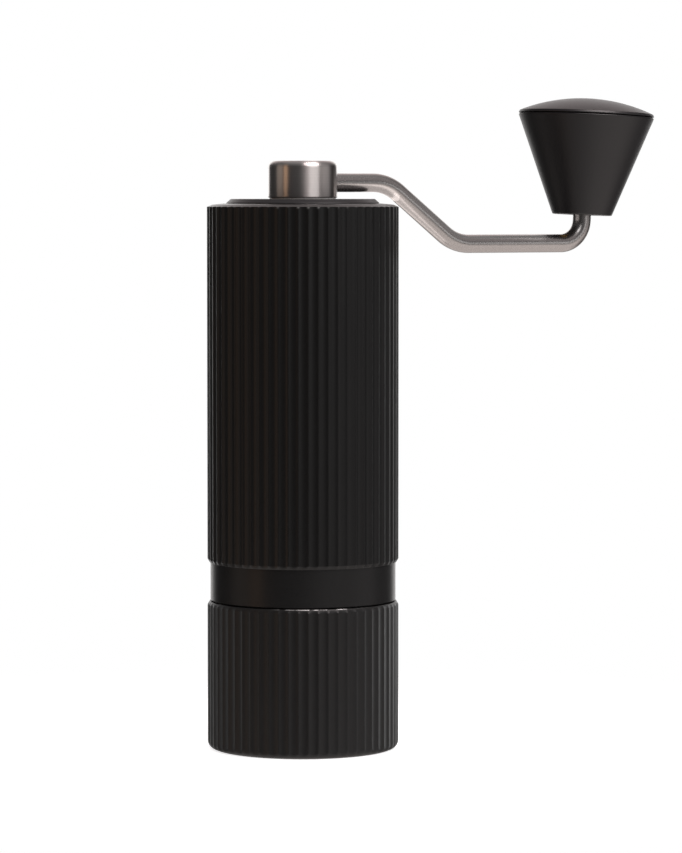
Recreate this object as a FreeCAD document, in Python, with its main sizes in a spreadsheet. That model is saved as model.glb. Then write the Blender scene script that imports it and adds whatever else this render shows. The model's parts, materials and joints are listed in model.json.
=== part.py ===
"""Hand crank coffee grinder, as the separate pieces that it comes apart into.

Millimetres and degrees, +Z up along the drive shaft, origin at the middle of the cup's foot,
crank along +X.
"""

import FreeCAD
import Part
import Sketcher
import math
import os
import re

# Driving sizes, one sheet cell each
SIZES = {
    # fluted body
    "body_radius": 26.0,
    "flute_count": 60,
    "flute_depth": 0.3,
    "flute_land": 0.12,
    "edge_inset": 0.6,
    "edge_rise": 1.0,
    "sleeve_length": 96.45,
    "sleeve_wall": 1.4,
    "sleeve_fit": 0.05,
    "shoulder_width": 1.45,
    "shoulder_rise": 0.62,
    "rim_rise": 0.33,
    # cup
    "cup_height": 40.2,
    "cup_wall": 3.0,
    "cup_floor": 3.0,
    "cup_corner": 3.0,
    "cup_foot_round": 2.0,
    "rim_gap": 0.2,
    # core: band, threaded neck, hopper tube and burr seat
    "band_height": 10.4,
    "band_inset": 0.8,
    "band_bevel": 0.3,
    "core_wall": 3.2,
    "neck_length": 8.4,
    "neck_wall": 1.6,
    "neck_bevel": 0.4,
    "thread_gap": 0.2,
    "thread_depth": 0.5,
    "thread_pitch": 1.5,
    "thread_cut": 0.9,
    "thread_start": 1.2,
    "seal_section": 0.75,
    "seal_depth": 0.85,
    "seal_gap": 0.05,
    "seal_drop": 1.5,
    "seal_run": 0.1,
    "relief_drop": 0.6,
    "ledge_rise": 19.6,
    "ledge_height": 4.0,
    "ledge_reach": 4.0,
    # burrs
    "ring_burr_height": 17.0,
    "ring_burr_fit": 0.05,
    "ring_nut_height": 4.0,
    "ring_nut_clearance": 0.6,
    "ring_nut_slots": 4,
    "ring_nut_slot_width": 3.0,
    "ring_nut_slot_depth": 1.5,
    "ring_burr_wall": 2.55,
    "burr_gap": 0.35,
    "burr_fine_height": 6.0,
    "burr_fine_taper": 2.2,
    "burr_top_rise": 1.0,
    "burr_top_radius": 9.0,
    "ring_throat_inset": 0.3,
    "tooth_count": 24,
    "tooth_depth": 0.6,
    "tooth_width": 0.8,
    "tooth_twist": 14,
    "crusher_count": 6,
    "crusher_depth": 1.6,
    "crusher_width": 2.2,
    "crusher_twist": 35,
    # bearings and their bridges
    "shaft_radius": 4.0,
    "bearing_radius": 8.0,
    "bearing_width": 5.0,
    "bearing_fit": 0.02,
    "ball_radius": 1.2,
    "ball_count": 9,
    "race_gap": 0.05,
    "race_land": 0.9,
    "shield_thickness": 0.25,
    "shield_inset": 0.3,
    "shield_gap": 0.1,
    "bridge_fit": 0.1,
    "bridge_plate": 3.0,
    "bridge_ring_height": 6.0,
    "bridge_ring_wall": 2.5,
    "bridge_drop": 19.0,
    "bridge_hub_wall": 2.2,
    "bridge_lip": 0.8,
    "bridge_lip_margin": 0.6,
    "bridge_hub_margin": 0.6,
    "burr_headroom": 1.3,
    "arm_count": 3,
    "window_half_angle": 47,
    "window_margin": 0.6,
    # screws
    "screw_radius": 1.25,
    "screw_head_radius": 1.9,
    "screw_head_height": 1.3,
    "screw_gap": 0.05,
    "screw_sink": 0.15,
    "screw_grip": 3.0,
    "screw_socket_flats": 1.5,
    "screw_socket_depth": 0.8,
    # drive shaft
    "hex_flats": 6.8,
    "hex_fit": 0.08,
    "hex_margin": 1.0,
    "tail_radius": 3.0,
    "tail_gap": 0.05,
    "tail_bevel": 0.4,
    "collar_reach": 1.2,
    "collar_height": 1.5,
    "circlip_thickness": 0.8,
    "circlip_depth": 0.5,
    "circlip_reach": 1.4,
    "circlip_play": 0.1,
    "clip_slack": 0.04,
    "clip_mouth": 4.0,
    # preload spring
    "spring_radius": 5.3,
    "spring_wire_radius": 0.42,
    "spring_turns": 4.5,
    "spring_pocket_gap": 0.68,
    "spring_pocket_depth": 6.0,
    "spring_seat_gap": 0.05,
    "spring_washer_reach": 0.9,
    "spring_washer_thickness": 0.6,
    # grind dial
    "click_thickness": 1.4,
    "click_inset": 2.0,
    "click_count": 12,
    "click_radius": 0.9,
    "click_depth": 0.3,
    "detent_circle": 8.6,
    "detent_radius": 1.2,
    "detent_gap": 0.12,
    "detent_pocket_depth": 4.6,
    "detent_wire_radius": 0.16,
    "detent_turns": 2.5,
    "dial_play": 0.1,
    "dial_radius": 12.5,
    "dial_height": 12.0,
    "dial_bevel": 0.7,
    "dial_scallops": 12,
    "dial_scallop_radius": 2.5,
    "dial_scallop_depth": 1.0,
    "dial_floor": 1.5,
    "nut_flats": 10.0,
    "nut_gap": 0.02,
    "tail_recess": 0.5,
    # lid
    "mouth_step": 1.75,
    "lid_gap": 0.25,
    "lid_lip": 1.15,
    "lid_ledge": 1.2,
    "lid_seat_depth": 2.0,
    "lid_height": 3.2,
    "lid_plate": 2.9,
    "lid_bevel": 1.2,
    "lid_bevel_drop": 1.05,
    "skirt_length": 3.0,
    "skirt_wall": 1.6,
    "skirt_gap": 0.25,
    # crank
    "hub_radius": 9.4,
    "hub_height": 10.0,
    "hub_round": 1.7,
    "hub_roof": 2.5,
    "hub_foot_bevel": 0.3,
    "boss_radius": 6.0,
    "boss_gap": 0.1,
    "boss_end": 0.7,
    "lid_clip_thickness": 0.6,
    "lid_clip_play": 0.15,
    "lid_clip_depth": 0.8,
    "lid_clip_reach": 2.0,
    "hub_washer_thickness": 0.3,
    "hub_washer_inset": 0.4,
    "socket_clearance": 0.5,
    "crank_radius": 2.55,
    "crank_fit": 0.02,
    "crank_rise": 4.1,
    "crank_root_wall": 0.9,
    "crank_bend_inset": 0.8,
    "crank_slope": 39.0,
    "crank_drop": 16.8,
    "crank_bend_radius": 12.0,
    "crank_elbow_radius": 6.7,
    "crank_reach": 85.4,
    # knob
    "knob_lean": 2.6,
    "knob_clearance": 1.5,
    "knob_foot_radius": 8.3,
    "knob_foot_round": 0.6,
    "knob_rim_radius": 19.0,
    "knob_height": 27.7,
    "cap_seam": 0.25,
    "cap_edge": 0.6,
    "cap_inset": 0.1,
    "cap_dome": 4.0,
    "cap_plug_inset": 4.0,
    "cap_plug_depth": 2.0,
    "cap_plug_gap": 0.1,
    "rod_seat": 2.1,
    "bolt_radius": 2.0,
    "bolt_thread_radius": 1.5,
    "bolt_thread_length": 2.1,
    "bolt_head_radius": 3.6,
    "bolt_head_height": 2.2,
    "bolt_head_clearance": 0.6,
    "bolt_socket_flats": 2.5,
    "bolt_socket_depth": 1.3,
    "knob_washer_thickness": 0.5,
    "bush_gap": 0.04,
    "bush_wall": 1.2,
    "bush_length": 5.0,
    "bush_flange": 0.8,
    "bush_flange_reach": 0.9,
    "bush_play": 0.3,
    "bush_seat_gap": 0.02,
    "head_room": 0.6,
}

# Sizes and levels that follow from the driving ones
DERIVED = {
    "flute_chord": "2 * pi * body_radius / flute_count - flute_land",
    "flute_radius": "(flute_chord * flute_chord / 4 + flute_depth * flute_depth) / (2 * flute_depth)",
    "band_radius": "body_radius - band_inset",
    "sleeve_bore": "body_radius - sleeve_wall",
    "core_radius": "sleeve_bore - sleeve_fit",
    "hopper_radius": "core_radius - core_wall",
    "cup_bore": "body_radius - cup_wall",
    "neck_radius": "cup_bore - thread_gap",
    "burr_bore": "neck_radius - neck_wall",
    "throat_radius": "burr_bore - ledge_reach",
    "seal_root": "neck_radius - seal_depth",
    "seal_middle": "seal_root + seal_gap + seal_section",
    "seal_relief": "seal_middle + seal_section + seal_run",
    "mouth_radius": "hopper_radius - mouth_step",
    "lid_radius": "mouth_radius + lid_lip",
    "lid_bore": "lid_radius + lid_gap",
    "skirt_radius": "mouth_radius - skirt_gap",
    "lid_hole": "boss_radius + boss_gap",
    "band_z": "cup_height + rim_gap",
    "neck_z": "band_z - neck_length",
    "seal_z": "band_z - seal_drop",
    "seal_half": "seal_section + seal_gap",
    "sleeve_z": "band_z + band_height",
    "shoulder_z": "sleeve_z + sleeve_length",
    "rim_z": "shoulder_z + shoulder_rise + rim_rise",
    "lid_z": "rim_z - lid_seat_depth",
    "core_top_z": "lid_z - lid_ledge",
    "lid_top_z": "lid_z + lid_height",
    "lid_plate_z": "lid_top_z - lid_plate",
    "hub_z": "lid_top_z + hub_washer_thickness",
    "hub_top_z": "hub_z + hub_height",
    "lid_clip_z": "lid_plate_z - lid_clip_play - lid_clip_thickness",
    "boss_z": "lid_clip_z - boss_end",
    "boss_groove": "boss_radius - lid_clip_depth",
    "socket_top_z": "hub_top_z - hub_roof",
    "shaft_top_z": "socket_top_z - socket_clearance",
    "hex_corner": "hex_flats / sqrt(3)",
    "socket_corner": "(hex_flats + 2 * hex_fit) / sqrt(3)",
    "ledge_z": "band_z + ledge_rise",
    "ledge_top_z": "ledge_z + ledge_height",
    "ring_z": "ledge_z - ring_burr_height",
    "waist_z": "ring_z + burr_fine_height",
    "ring_radius": "burr_bore - ring_burr_fit",
    "ring_mouth": "ring_radius - ring_burr_wall",
    "burr_radius": "ring_mouth - burr_gap",
    "ring_waist": "ring_mouth - burr_fine_taper",
    "ring_throat": "throat_radius - ring_throat_inset",
    "burr_waist": "burr_radius - burr_fine_taper",
    "burr_top_z": "ledge_z + burr_top_rise",
    "spring_pocket_z": "burr_top_z - spring_pocket_depth",
    "spring_pocket_radius": "spring_radius + spring_wire_radius + spring_pocket_gap",
    "spring_washer_radius": "spring_radius + spring_washer_reach",
    "lower_hub_z": "burr_top_z + burr_headroom",
    "lower_bearing_z": "lower_hub_z + bridge_lip",
    "upper_hub_z": "core_top_z - bridge_drop",
    "upper_bearing_z": "upper_hub_z + bridge_lip",
    "upper_screw_z": "upper_hub_z + bridge_ring_height / 2",
    "ball_circle": "(shaft_radius + bearing_radius) / 2",
    "groove_radius": "ball_radius + race_gap",
    "groove_half": "sqrt(groove_radius * groove_radius - race_land * race_land)",
    "outer_land": "ball_circle + race_land",
    "inner_land": "ball_circle - race_land",
    "bearing_pocket": "bearing_radius + bearing_fit",
    "bridge_hub_radius": "bearing_pocket + bridge_hub_wall",
    "bridge_lip_radius": "ball_circle + bridge_lip_margin",
    "bridge_radius": "hopper_radius - bridge_fit",
    "bridge_ring_bore": "bridge_radius - bridge_ring_wall",
    "window_in": "bridge_hub_radius + window_margin",
    "screw_circle": "(throat_radius + hopper_radius) / 2",
    "screw_hole": "screw_radius + screw_gap",
    "screw_head_hole": "screw_head_radius + screw_gap",
    "circlip_z": "upper_bearing_z + bearing_width + circlip_play",
    "circlip_groove": "shaft_radius - circlip_depth",
    "upper_hex_z": "circlip_z + circlip_thickness + hex_margin",
    "collar_z": "lower_bearing_z + bearing_width",
    "spring_washer_z": "lower_bearing_z - spring_washer_thickness",
    "click_z": "ring_z - click_thickness",
    "dial_top_z": "click_z - dial_play",
    "dial_z": "dial_top_z - dial_height",
    "nut_z": "dial_z + dial_floor",
    "lower_hex_z": "dial_top_z + hex_margin",
    "tail_z": "dial_z + tail_recess",
    "detent_z": "click_z - dial_play / 2 - detent_radius",
    "detent_bore": "detent_radius + detent_gap",
    "detent_floor_z": "dial_top_z - detent_pocket_depth",
    "detent_coil": "detent_radius - detent_wire_radius",
    "crank_z": "hub_z + crank_rise",
    "crank_low_z": "crank_z - crank_drop",
    "crank_root": "socket_corner + crank_root_wall",
    "crank_bend_at": "body_radius - crank_bend_inset",
    "crank_second_bend": "crank_bend_at + crank_drop / tan(crank_slope)",
    "bend_run": "crank_bend_radius * tan(crank_slope / 2)",
    "elbow_run": "crank_elbow_radius * tan((90 - knob_lean) / 2)",
    "knob_foot": "elbow_run + knob_clearance",
    "rod_end": "knob_foot + rod_seat",
    "knob_rim": "knob_foot + knob_height",
    "plug_floor": "knob_rim - cap_plug_depth",
    "cap_plug_radius": "knob_rim_radius - cap_plug_inset",
    "head_top": "plug_floor - bolt_head_clearance",
    "head_foot": "head_top - bolt_head_height",
    "knob_washer_foot": "head_foot - knob_washer_thickness",
    "upper_bush_top": "knob_washer_foot - bush_play",
    "lower_bush_foot": "rod_end + bush_play",
    "bush_bore": "bolt_radius + bush_gap",
    "bush_radius": "bush_bore + bush_wall",
    "bush_seat": "bush_radius + bush_seat_gap",
    "flange_radius": "bush_radius + bush_flange_reach",
    "flange_seat": "flange_radius + bush_seat_gap",
    "head_pocket": "bolt_head_radius + head_room",
    "cap_foot": "knob_rim + cap_seam",
    "cap_rim_radius": "knob_rim_radius - cap_inset",
    "dome_foot": "cap_foot + cap_edge",
    "dome_radius": "(cap_rim_radius * cap_rim_radius + cap_dome * cap_dome) / (2 * cap_dome)",
}

WORD = re.compile(r"[a-z]\w*")
TINY = 1e-9

doc = FreeCAD.newDocument("coffee_grinder")
sheet = doc.addObject("Spreadsheet::Sheet", "Sizes")
pieces = {}


def fill_sheet():
    """Put every driving size in the sheet, its name beside it and as its alias."""
    for row, (alias, number) in enumerate(SIZES.items(), start=1):
        sheet.set(f"A{row}", alias)
        sheet.set(f"B{row}", str(number))
        sheet.setAlias(f"B{row}", alias)
    doc.recompute()


def bind(formula):
    """Spell a formula of size names as an expression on the sheet's cells."""
    def spell(match):
        word = match.group()
        if word in DERIVED:
            return "(" + bind(DERIVED[word]) + ")"
        if word in SIZES:
            return "Sizes." + word
        return word
    return WORD.sub(spell, str(formula))


def measure(formula):
    """The present value of a formula of size names."""
    result = sheet.evalExpression(bind(formula))
    return float(getattr(result, "Value", result))


def add_body(label):
    """An empty body, listed as a piece under its label."""
    body = doc.addObject("PartDesign::Body", "body_" + label)
    body.Label = label
    pieces[label] = body
    return body


def origin_feature(body, role):
    """One of the body's own origin planes or axes."""
    return next(item for item in body.Origin.OriginFeatures if item.Role == role)


def new_sketch(body, role, lift):
    """An empty sketch on an origin plane, raised along the plane's normal."""
    sketch = body.newObject("Sketcher::SketchObject", body.Label + "_sketch")
    sketch.AttachmentSupport = [(origin_feature(body, role), "")]
    sketch.MapMode = "FlatFace"
    if lift is not None:
        sketch.AttachmentOffset = FreeCAD.Placement(FreeCAD.Vector(0, 0, measure(lift)), FreeCAD.Rotation())
        sketch.setExpression("AttachmentOffset.Base.z", bind(lift))
    return sketch


def arc_between(start, end, radius):
    """The shorter arc from start to end; a positive radius bends left, a negative one right."""
    chord = end - start
    half = chord.Length / 2
    height = math.sqrt(max(radius * radius - half * half, 0.0))
    left = FreeCAD.Vector(-chord.y, chord.x, 0).normalize()
    centre = (start + end) * 0.5 + left * math.copysign(height, radius)
    first, last = (start, end) if radius > 0 else (end, start)
    from_angle = math.atan2(first.y - centre.y, first.x - centre.x)
    to_angle = math.atan2(last.y - centre.y, last.x - centre.x)
    circle = Part.Circle(centre, FreeCAD.Vector(0, 0, 1), abs(radius))
    return Part.ArcOfCircle(circle, from_angle, to_angle)


def place_point(sketch, edge, end, corner, spot):
    """Bind one corner of a sketch to its two formulas."""
    for kind, axis, formula, value in (
        ("DistanceX", -2, corner[0], spot.x),
        ("DistanceY", -1, corner[1], spot.y),
    ):
        if abs(value) < TINY:
            sketch.addConstraint(Sketcher.Constraint("PointOnObject", edge, end, axis))
            continue
        index = sketch.addConstraint(Sketcher.Constraint(kind, -1, 1, edge, end, value))
        sketch.setExpression(f"Constraints[{index}]", bind(formula))


def add_path(sketch, corners, closed=True):
    """Draw lines and arcs through (x, y) formulas and bind every corner to the sheet.

    A third entry in a corner is the signed radius of the arc that runs on to the next corner.
    """
    spots = [FreeCAD.Vector(measure(corner[0]), measure(corner[1]), 0) for corner in corners]
    count = len(corners) if closed else len(corners) - 1
    joints = []
    for number in range(count):
        corner = corners[number]
        start = spots[number]
        end = spots[(number + 1) % len(spots)]
        if len(corner) == 2:
            edge = sketch.addGeometry(Part.LineSegment(start, end), False)
            joints.append((edge, 1, 2))
            continue
        radius = measure(corner[2])
        edge = sketch.addGeometry(arc_between(start, end, radius), False)
        joints.append((edge, 1, 2) if radius > 0 else (edge, 2, 1))
        index = sketch.addConstraint(Sketcher.Constraint("Radius", edge, abs(radius)))
        sketch.setExpression(f"Constraints[{index}]", bind(f"abs({corner[2]})"))
    for number in range(count if closed else count - 1):
        edge, _, tail = joints[number]
        follower, head, _ = joints[(number + 1) % count]
        sketch.addConstraint(Sketcher.Constraint("Coincident", edge, tail, follower, head))
    for number in range(count):
        edge, head, _ = joints[number]
        place_point(sketch, edge, head, corners[number], spots[number])
    if not closed:
        edge, _, tail = joints[-1]
        place_point(sketch, edge, tail, corners[-1], spots[-1])


def draw(body, corners, role="XZ_Plane", lift=None, closed=True):
    """A sketch of one path."""
    sketch = new_sketch(body, role, lift)
    add_path(sketch, corners, closed)
    return sketch


def draw_circle(body, across, along, radius, role="XY_Plane", lift=None):
    """A sketch of one circle."""
    sketch = new_sketch(body, role, lift)
    spot = FreeCAD.Vector(measure(across), measure(along), 0)
    circle = Part.Circle(spot, FreeCAD.Vector(0, 0, 1), measure(radius))
    edge = sketch.addGeometry(circle, False)
    index = sketch.addConstraint(Sketcher.Constraint("Radius", edge, measure(radius)))
    sketch.setExpression(f"Constraints[{index}]", bind(radius))
    place_point(sketch, edge, 3, (across, along), spot)
    return sketch


def hexagon(corner):
    """The corners of a hexagon about the origin, one of them on the x axis."""
    return [(f"({corner}) * cos({turn})", f"({corner}) * sin({turn})") for turn in range(0, 360, 60)]


def revolve(body, sketch, axis="V_Axis"):
    """Turn a sketch about one of its axes."""
    feature = body.newObject("PartDesign::Revolution", body.Label + "_turned")
    feature.Profile = sketch
    feature.ReferenceAxis = (sketch, [axis])
    feature.Angle = 360
    body.Tip = feature
    return feature


def turned(label, corners):
    """A piece turned from one outline of (radius, height) formulas."""
    body = add_body(label)
    revolve(body, draw(body, corners))
    return body


def pad(body, sketch, length):
    """Add a prism along the sketch's normal."""
    feature = body.newObject("PartDesign::Pad", body.Label + "_pad")
    feature.Profile = sketch
    feature.setExpression("Length", bind(length))
    body.Tip = feature
    return feature


def cut(body, sketch, depth=None):
    """Cut along the sketch's normal, to a depth or through everything."""
    feature = body.newObject("PartDesign::Pocket", body.Label + "_cut")
    feature.Profile = sketch
    feature.Reversed = True
    if depth is None:
        feature.Type = "ThroughAll"
    else:
        feature.setExpression("Length", bind(depth))
    body.Tip = feature
    return feature


def loft_cut(body, first, second):
    """Cut a groove that runs straight from one section to another."""
    feature = body.newObject("PartDesign::SubtractiveLoft", body.Label + "_groove")
    feature.Profile = first
    feature.Sections = [second]
    feature.Ruled = True
    body.Tip = feature
    return feature


def spread(body, feature, count):
    """Repeat a feature evenly around the shaft's axis."""
    pattern = body.newObject("PartDesign::PolarPattern", body.Label + "_ring")
    pattern.Originals = [feature]
    pattern.Axis = (origin_feature(body, "Z_Axis"), [""])
    pattern.Angle = 360
    pattern.setExpression("Occurrences", bind(count))
    body.Tip = pattern
    return pattern


def ring_outline(inner, outer, bottom, top):
    """The square section of a plain ring."""
    return [(inner, bottom), (outer, bottom), (outer, top), (inner, top)]


def cut_flutes(body):
    """Scoop the upright flutes out of the body's outside."""
    sketch = draw_circle(body, "body_radius - flute_depth + flute_radius", "0", "flute_radius")
    spread(body, cut(body, sketch), "flute_count")


def make_sleeve():
    """Fluted sleeve with the sloped shoulder and the seat of the lid."""
    body = turned("outer_sleeve", [
        ("sleeve_bore", "sleeve_z"),
        ("body_radius - edge_inset", "sleeve_z"),
        ("body_radius", "sleeve_z + edge_rise"),
        ("body_radius", "shoulder_z"),
        ("body_radius - shoulder_width", "shoulder_z + shoulder_rise"),
        ("lid_bore", "rim_z"),
        ("lid_bore", "lid_z"),
        ("mouth_radius", "lid_z"),
        ("mouth_radius", "core_top_z"),
        ("sleeve_bore", "core_top_z"),
    ])
    cut_flutes(body)


def thread_notches(radius, depth):
    """V notches up a threaded wall, as many as fit under the seal's groove."""
    notches = []
    room = measure("seal_z - seal_half - relief_drop - neck_z - thread_start - thread_cut")
    for turn in range(int(room / measure("thread_pitch")) + 1):
        foot = f"neck_z + thread_start + {turn} * thread_pitch"
        notches.append((radius, foot))
        notches.append((f"{radius} {depth}", f"{foot} + thread_cut / 2"))
        notches.append((radius, f"{foot} + thread_cut"))
    return notches


def make_core():
    """Inner tube: threaded neck, smooth band, burr seat and hopper."""
    body = turned("body_core", [
        ("burr_bore", "neck_z"),
        ("neck_radius - neck_bevel", "neck_z"),
        ("neck_radius", "neck_z + neck_bevel"),
        *thread_notches("neck_radius", "- thread_depth"),
        ("neck_radius", "seal_z - seal_half"),
        ("seal_root", "seal_z - seal_half"),
        ("seal_root", "seal_z + seal_half"),
        ("neck_radius", "seal_z + seal_half"),
        ("neck_radius", "band_z"),
        ("band_radius - band_bevel", "band_z"),
        ("band_radius", "band_z + band_bevel"),
        ("band_radius", "sleeve_z"),
        ("core_radius", "sleeve_z"),
        ("core_radius", "core_top_z"),
        ("hopper_radius", "core_top_z"),
        ("hopper_radius", "ledge_top_z"),
        ("throat_radius", "ledge_top_z"),
        ("throat_radius", "ledge_z"),
        ("burr_bore", "ledge_z"),
    ])
    ledge_hole = draw_circle(body, "screw_circle", "0", "screw_hole", lift="neck_z")
    spread(body, cut(body, ledge_hole), "arm_count")
    wall_hole = draw_circle(body, "0", "upper_screw_z", "screw_hole", role="YZ_Plane")
    spread(body, cut(body, wall_hole), "arm_count")
    head_seat = "core_radius - screw_sink - screw_head_height"
    head_hole = draw_circle(body, "0", "upper_screw_z", "screw_head_hole", role="YZ_Plane", lift=head_seat)
    spread(body, cut(body, head_hole), "arm_count")


def cut_windows(body, outer):
    """Open the bridge between its arms, so that beans fall through."""
    lean_in = "cos(window_half_angle)"
    lean_out = "sin(window_half_angle)"
    sketch = draw(body, [
        (f"-({outer}) * {lean_in}", f"({outer}) * {lean_out}", outer),
        (f"-({outer}) * {lean_in}", f"-({outer}) * {lean_out}"),
        (f"-window_in * {lean_in}", f"-window_in * {lean_out}", "-window_in"),
        (f"-window_in * {lean_in}", f"window_in * {lean_out}"),
    ], role="XY_Plane")
    spread(body, cut(body, sketch), "arm_count")


def make_bridges():
    """Two three-armed bearing carriers: one screwed down on the ledge, one high in the hopper."""
    lower = turned("lower_bridge", [
        ("bridge_lip_radius", "lower_hub_z"),
        ("bridge_hub_radius", "lower_hub_z"),
        ("bridge_hub_radius", "ledge_top_z"),
        ("bridge_radius", "ledge_top_z"),
        ("bridge_radius", "ledge_top_z + bridge_plate"),
        ("bridge_hub_radius", "ledge_top_z + bridge_plate"),
        ("bridge_hub_radius", "lower_bearing_z + bearing_width + bridge_hub_margin"),
        ("bearing_pocket", "lower_bearing_z + bearing_width + bridge_hub_margin"),
        ("bearing_pocket", "lower_bearing_z"),
        ("bridge_lip_radius", "lower_bearing_z"),
    ])
    cut_windows(lower, "throat_radius")
    spread(lower, cut(lower, draw_circle(lower, "screw_circle", "0", "screw_hole")), "arm_count")
    head_z = "ledge_top_z + bridge_plate - screw_sink - screw_head_height"
    head_hole = draw_circle(lower, "screw_circle", "0", "screw_head_hole", lift=head_z)
    spread(lower, cut(lower, head_hole), "arm_count")

    upper = turned("upper_bridge", [
        ("bridge_lip_radius", "upper_hub_z"),
        ("bridge_radius", "upper_hub_z"),
        ("bridge_radius", "upper_hub_z + bridge_ring_height"),
        ("bridge_ring_bore", "upper_hub_z + bridge_ring_height"),
        ("bridge_ring_bore", "upper_hub_z + bridge_plate"),
        ("bridge_hub_radius", "upper_hub_z + bridge_plate"),
        ("bridge_hub_radius", "upper_bearing_z + bearing_width + bridge_hub_margin"),
        ("bearing_pocket", "upper_bearing_z + bearing_width + bridge_hub_margin"),
        ("bearing_pocket", "upper_bearing_z"),
        ("bridge_lip_radius", "upper_bearing_z"),
    ])
    cut_windows(upper, "bridge_ring_bore - window_margin")
    wall_hole = draw_circle(upper, "0", "upper_screw_z", "screw_hole", role="YZ_Plane", lift="bridge_ring_bore")
    spread(upper, cut(upper, wall_hole), "arm_count")


def make_bridge_screws():
    """Socket head screws of the two bridges, each set turned together."""
    lower = add_body("lower_bridge_screws")
    top = "ledge_top_z + bridge_plate - screw_sink"
    seat = f"{top} - screw_head_height"
    profile = draw_circle(lower, "screw_circle", "0", "screw_radius", lift="ledge_top_z - screw_grip")
    shank = pad(lower, profile, f"{seat} - ledge_top_z + screw_grip")
    head = pad(lower, draw_circle(lower, "screw_circle", "0", "screw_head_radius", lift=seat), "screw_head_height")
    flats = "screw_socket_flats / sqrt(3)"
    corners = [(f"screw_circle + {across}", along) for across, along in hexagon(flats)]
    recess = draw(lower, corners, role="XY_Plane", lift=f"{top} - screw_socket_depth")
    repeat_all(lower, [shank, head, cut(lower, recess)])

    upper = add_body("upper_bridge_screws")
    outside = "core_radius - screw_sink"
    seat = f"{outside} - screw_head_height"
    profile = draw_circle(upper, "0", "upper_screw_z", "screw_radius", role="YZ_Plane", lift="bridge_ring_bore")
    shank = pad(upper, profile, f"{seat} - bridge_ring_bore")
    profile = draw_circle(upper, "0", "upper_screw_z", "screw_head_radius", role="YZ_Plane", lift=seat)
    head = pad(upper, profile, "screw_head_height")
    corners = [(across, f"upper_screw_z + {along}") for across, along in hexagon(flats)]
    recess = draw(upper, corners, role="YZ_Plane", lift=f"{outside} - screw_socket_depth")
    repeat_all(upper, [shank, head, cut(upper, recess)])


def repeat_all(body, features):
    """Repeat several features together around the shaft's axis, one copy for each bridge arm."""
    pattern = spread(body, features[0], "arm_count")
    pattern.Originals = features


def make_bearing(name, foot):
    """Shielded ball bearing: two races, the balls between them and a shield at each face."""
    middle = f"{foot} + bearing_width / 2"
    turned(f"{name}_bearing_outer_race", [
        ("bearing_radius", foot),
        ("bearing_radius", f"{foot} + bearing_width"),
        ("outer_land", f"{foot} + bearing_width"),
        ("outer_land", f"{middle} + groove_half", "-groove_radius"),
        ("outer_land", f"{middle} - groove_half"),
        ("outer_land", foot),
    ])
    turned(f"{name}_bearing_inner_race", [
        ("shaft_radius + bearing_fit", foot),
        ("inner_land", foot),
        ("inner_land", f"{middle} - groove_half", "-groove_radius"),
        ("inner_land", f"{middle} + groove_half"),
        ("inner_land", f"{foot} + bearing_width"),
        ("shaft_radius + bearing_fit", f"{foot} + bearing_width"),
    ])

    shields = add_body(f"{name}_bearing_shields")
    sketch = new_sketch(shields, "XZ_Plane", None)
    low = f"{foot} + shield_inset"
    high = f"{foot} + bearing_width - shield_inset - shield_thickness"
    for level in (low, high):
        add_path(sketch, ring_outline("inner_land + shield_gap", "outer_land", level, f"{level} + shield_thickness"))
    revolve(shields, sketch)

    balls = add_body(f"{name}_bearing_balls")
    sketch = draw(balls, [
        ("ball_circle", f"{middle} - ball_radius", "ball_radius"),
        ("ball_circle + ball_radius", middle, "ball_radius"),
        ("ball_circle", f"{middle} + ball_radius"),
    ])
    axis = Part.LineSegment(FreeCAD.Vector(1, 0, 0), FreeCAD.Vector(1, 1, 0))
    line = sketch.addGeometry(axis, True)
    for end, height in ((1, f"{middle} - ball_radius"), (2, f"{middle} + ball_radius")):
        spot = FreeCAD.Vector(measure("ball_circle"), measure(height), 0)
        place_point(sketch, line, end, ("ball_circle", height), spot)
    spread(balls, revolve(balls, sketch, "Axis0"), "ball_count")


def open_ring(label, inner, outer, foot, thickness):
    """A spring clip: a flat ring with a gap on one side."""
    body = turned(label, ring_outline(inner, outer, foot, f"{foot} + {thickness}"))
    sketch = draw(body, [
        ("0", "-clip_mouth / 2"),
        (f"2 * ({outer})", "-clip_mouth / 2"),
        (f"2 * ({outer})", "clip_mouth / 2"),
        ("0", "clip_mouth / 2"),
    ], role="XY_Plane")
    cut(body, sketch)


def make_shaft():
    """Drive shaft with a hexagon at each end of its round middle and a threaded tail."""
    body = turned("drive_shaft", [
        ("0", "tail_z"),
        ("tail_radius - tail_bevel", "tail_z"),
        ("tail_radius", "tail_z + tail_bevel"),
        ("tail_radius", "spring_washer_z"),
        ("shaft_radius", "spring_washer_z"),
        ("shaft_radius", "collar_z"),
        ("shaft_radius + collar_reach", "collar_z"),
        ("shaft_radius + collar_reach", "collar_z + collar_height"),
        ("shaft_radius", "collar_z + collar_height"),
        ("shaft_radius", "circlip_z - clip_slack"),
        ("circlip_groove", "circlip_z - clip_slack"),
        ("circlip_groove", "circlip_z + circlip_thickness + clip_slack"),
        ("shaft_radius", "circlip_z + circlip_thickness + clip_slack"),
        ("shaft_radius", "upper_hex_z"),
        ("tail_radius", "upper_hex_z"),
        ("tail_radius", "shaft_top_z"),
        ("0", "shaft_top_z"),
    ])
    lower = draw(body, hexagon("hex_corner"), role="XY_Plane", lift="lower_hex_z")
    pad(body, lower, "spring_washer_z - lower_hex_z")
    upper = draw(body, hexagon("hex_corner"), role="XY_Plane", lift="upper_hex_z")
    pad(body, upper, "shaft_top_z - upper_hex_z")
    groove_bore = "circlip_groove + clip_slack"
    open_ring("shaft_circlip", groove_bore, "shaft_radius + circlip_reach", "circlip_z", "circlip_thickness")


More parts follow.
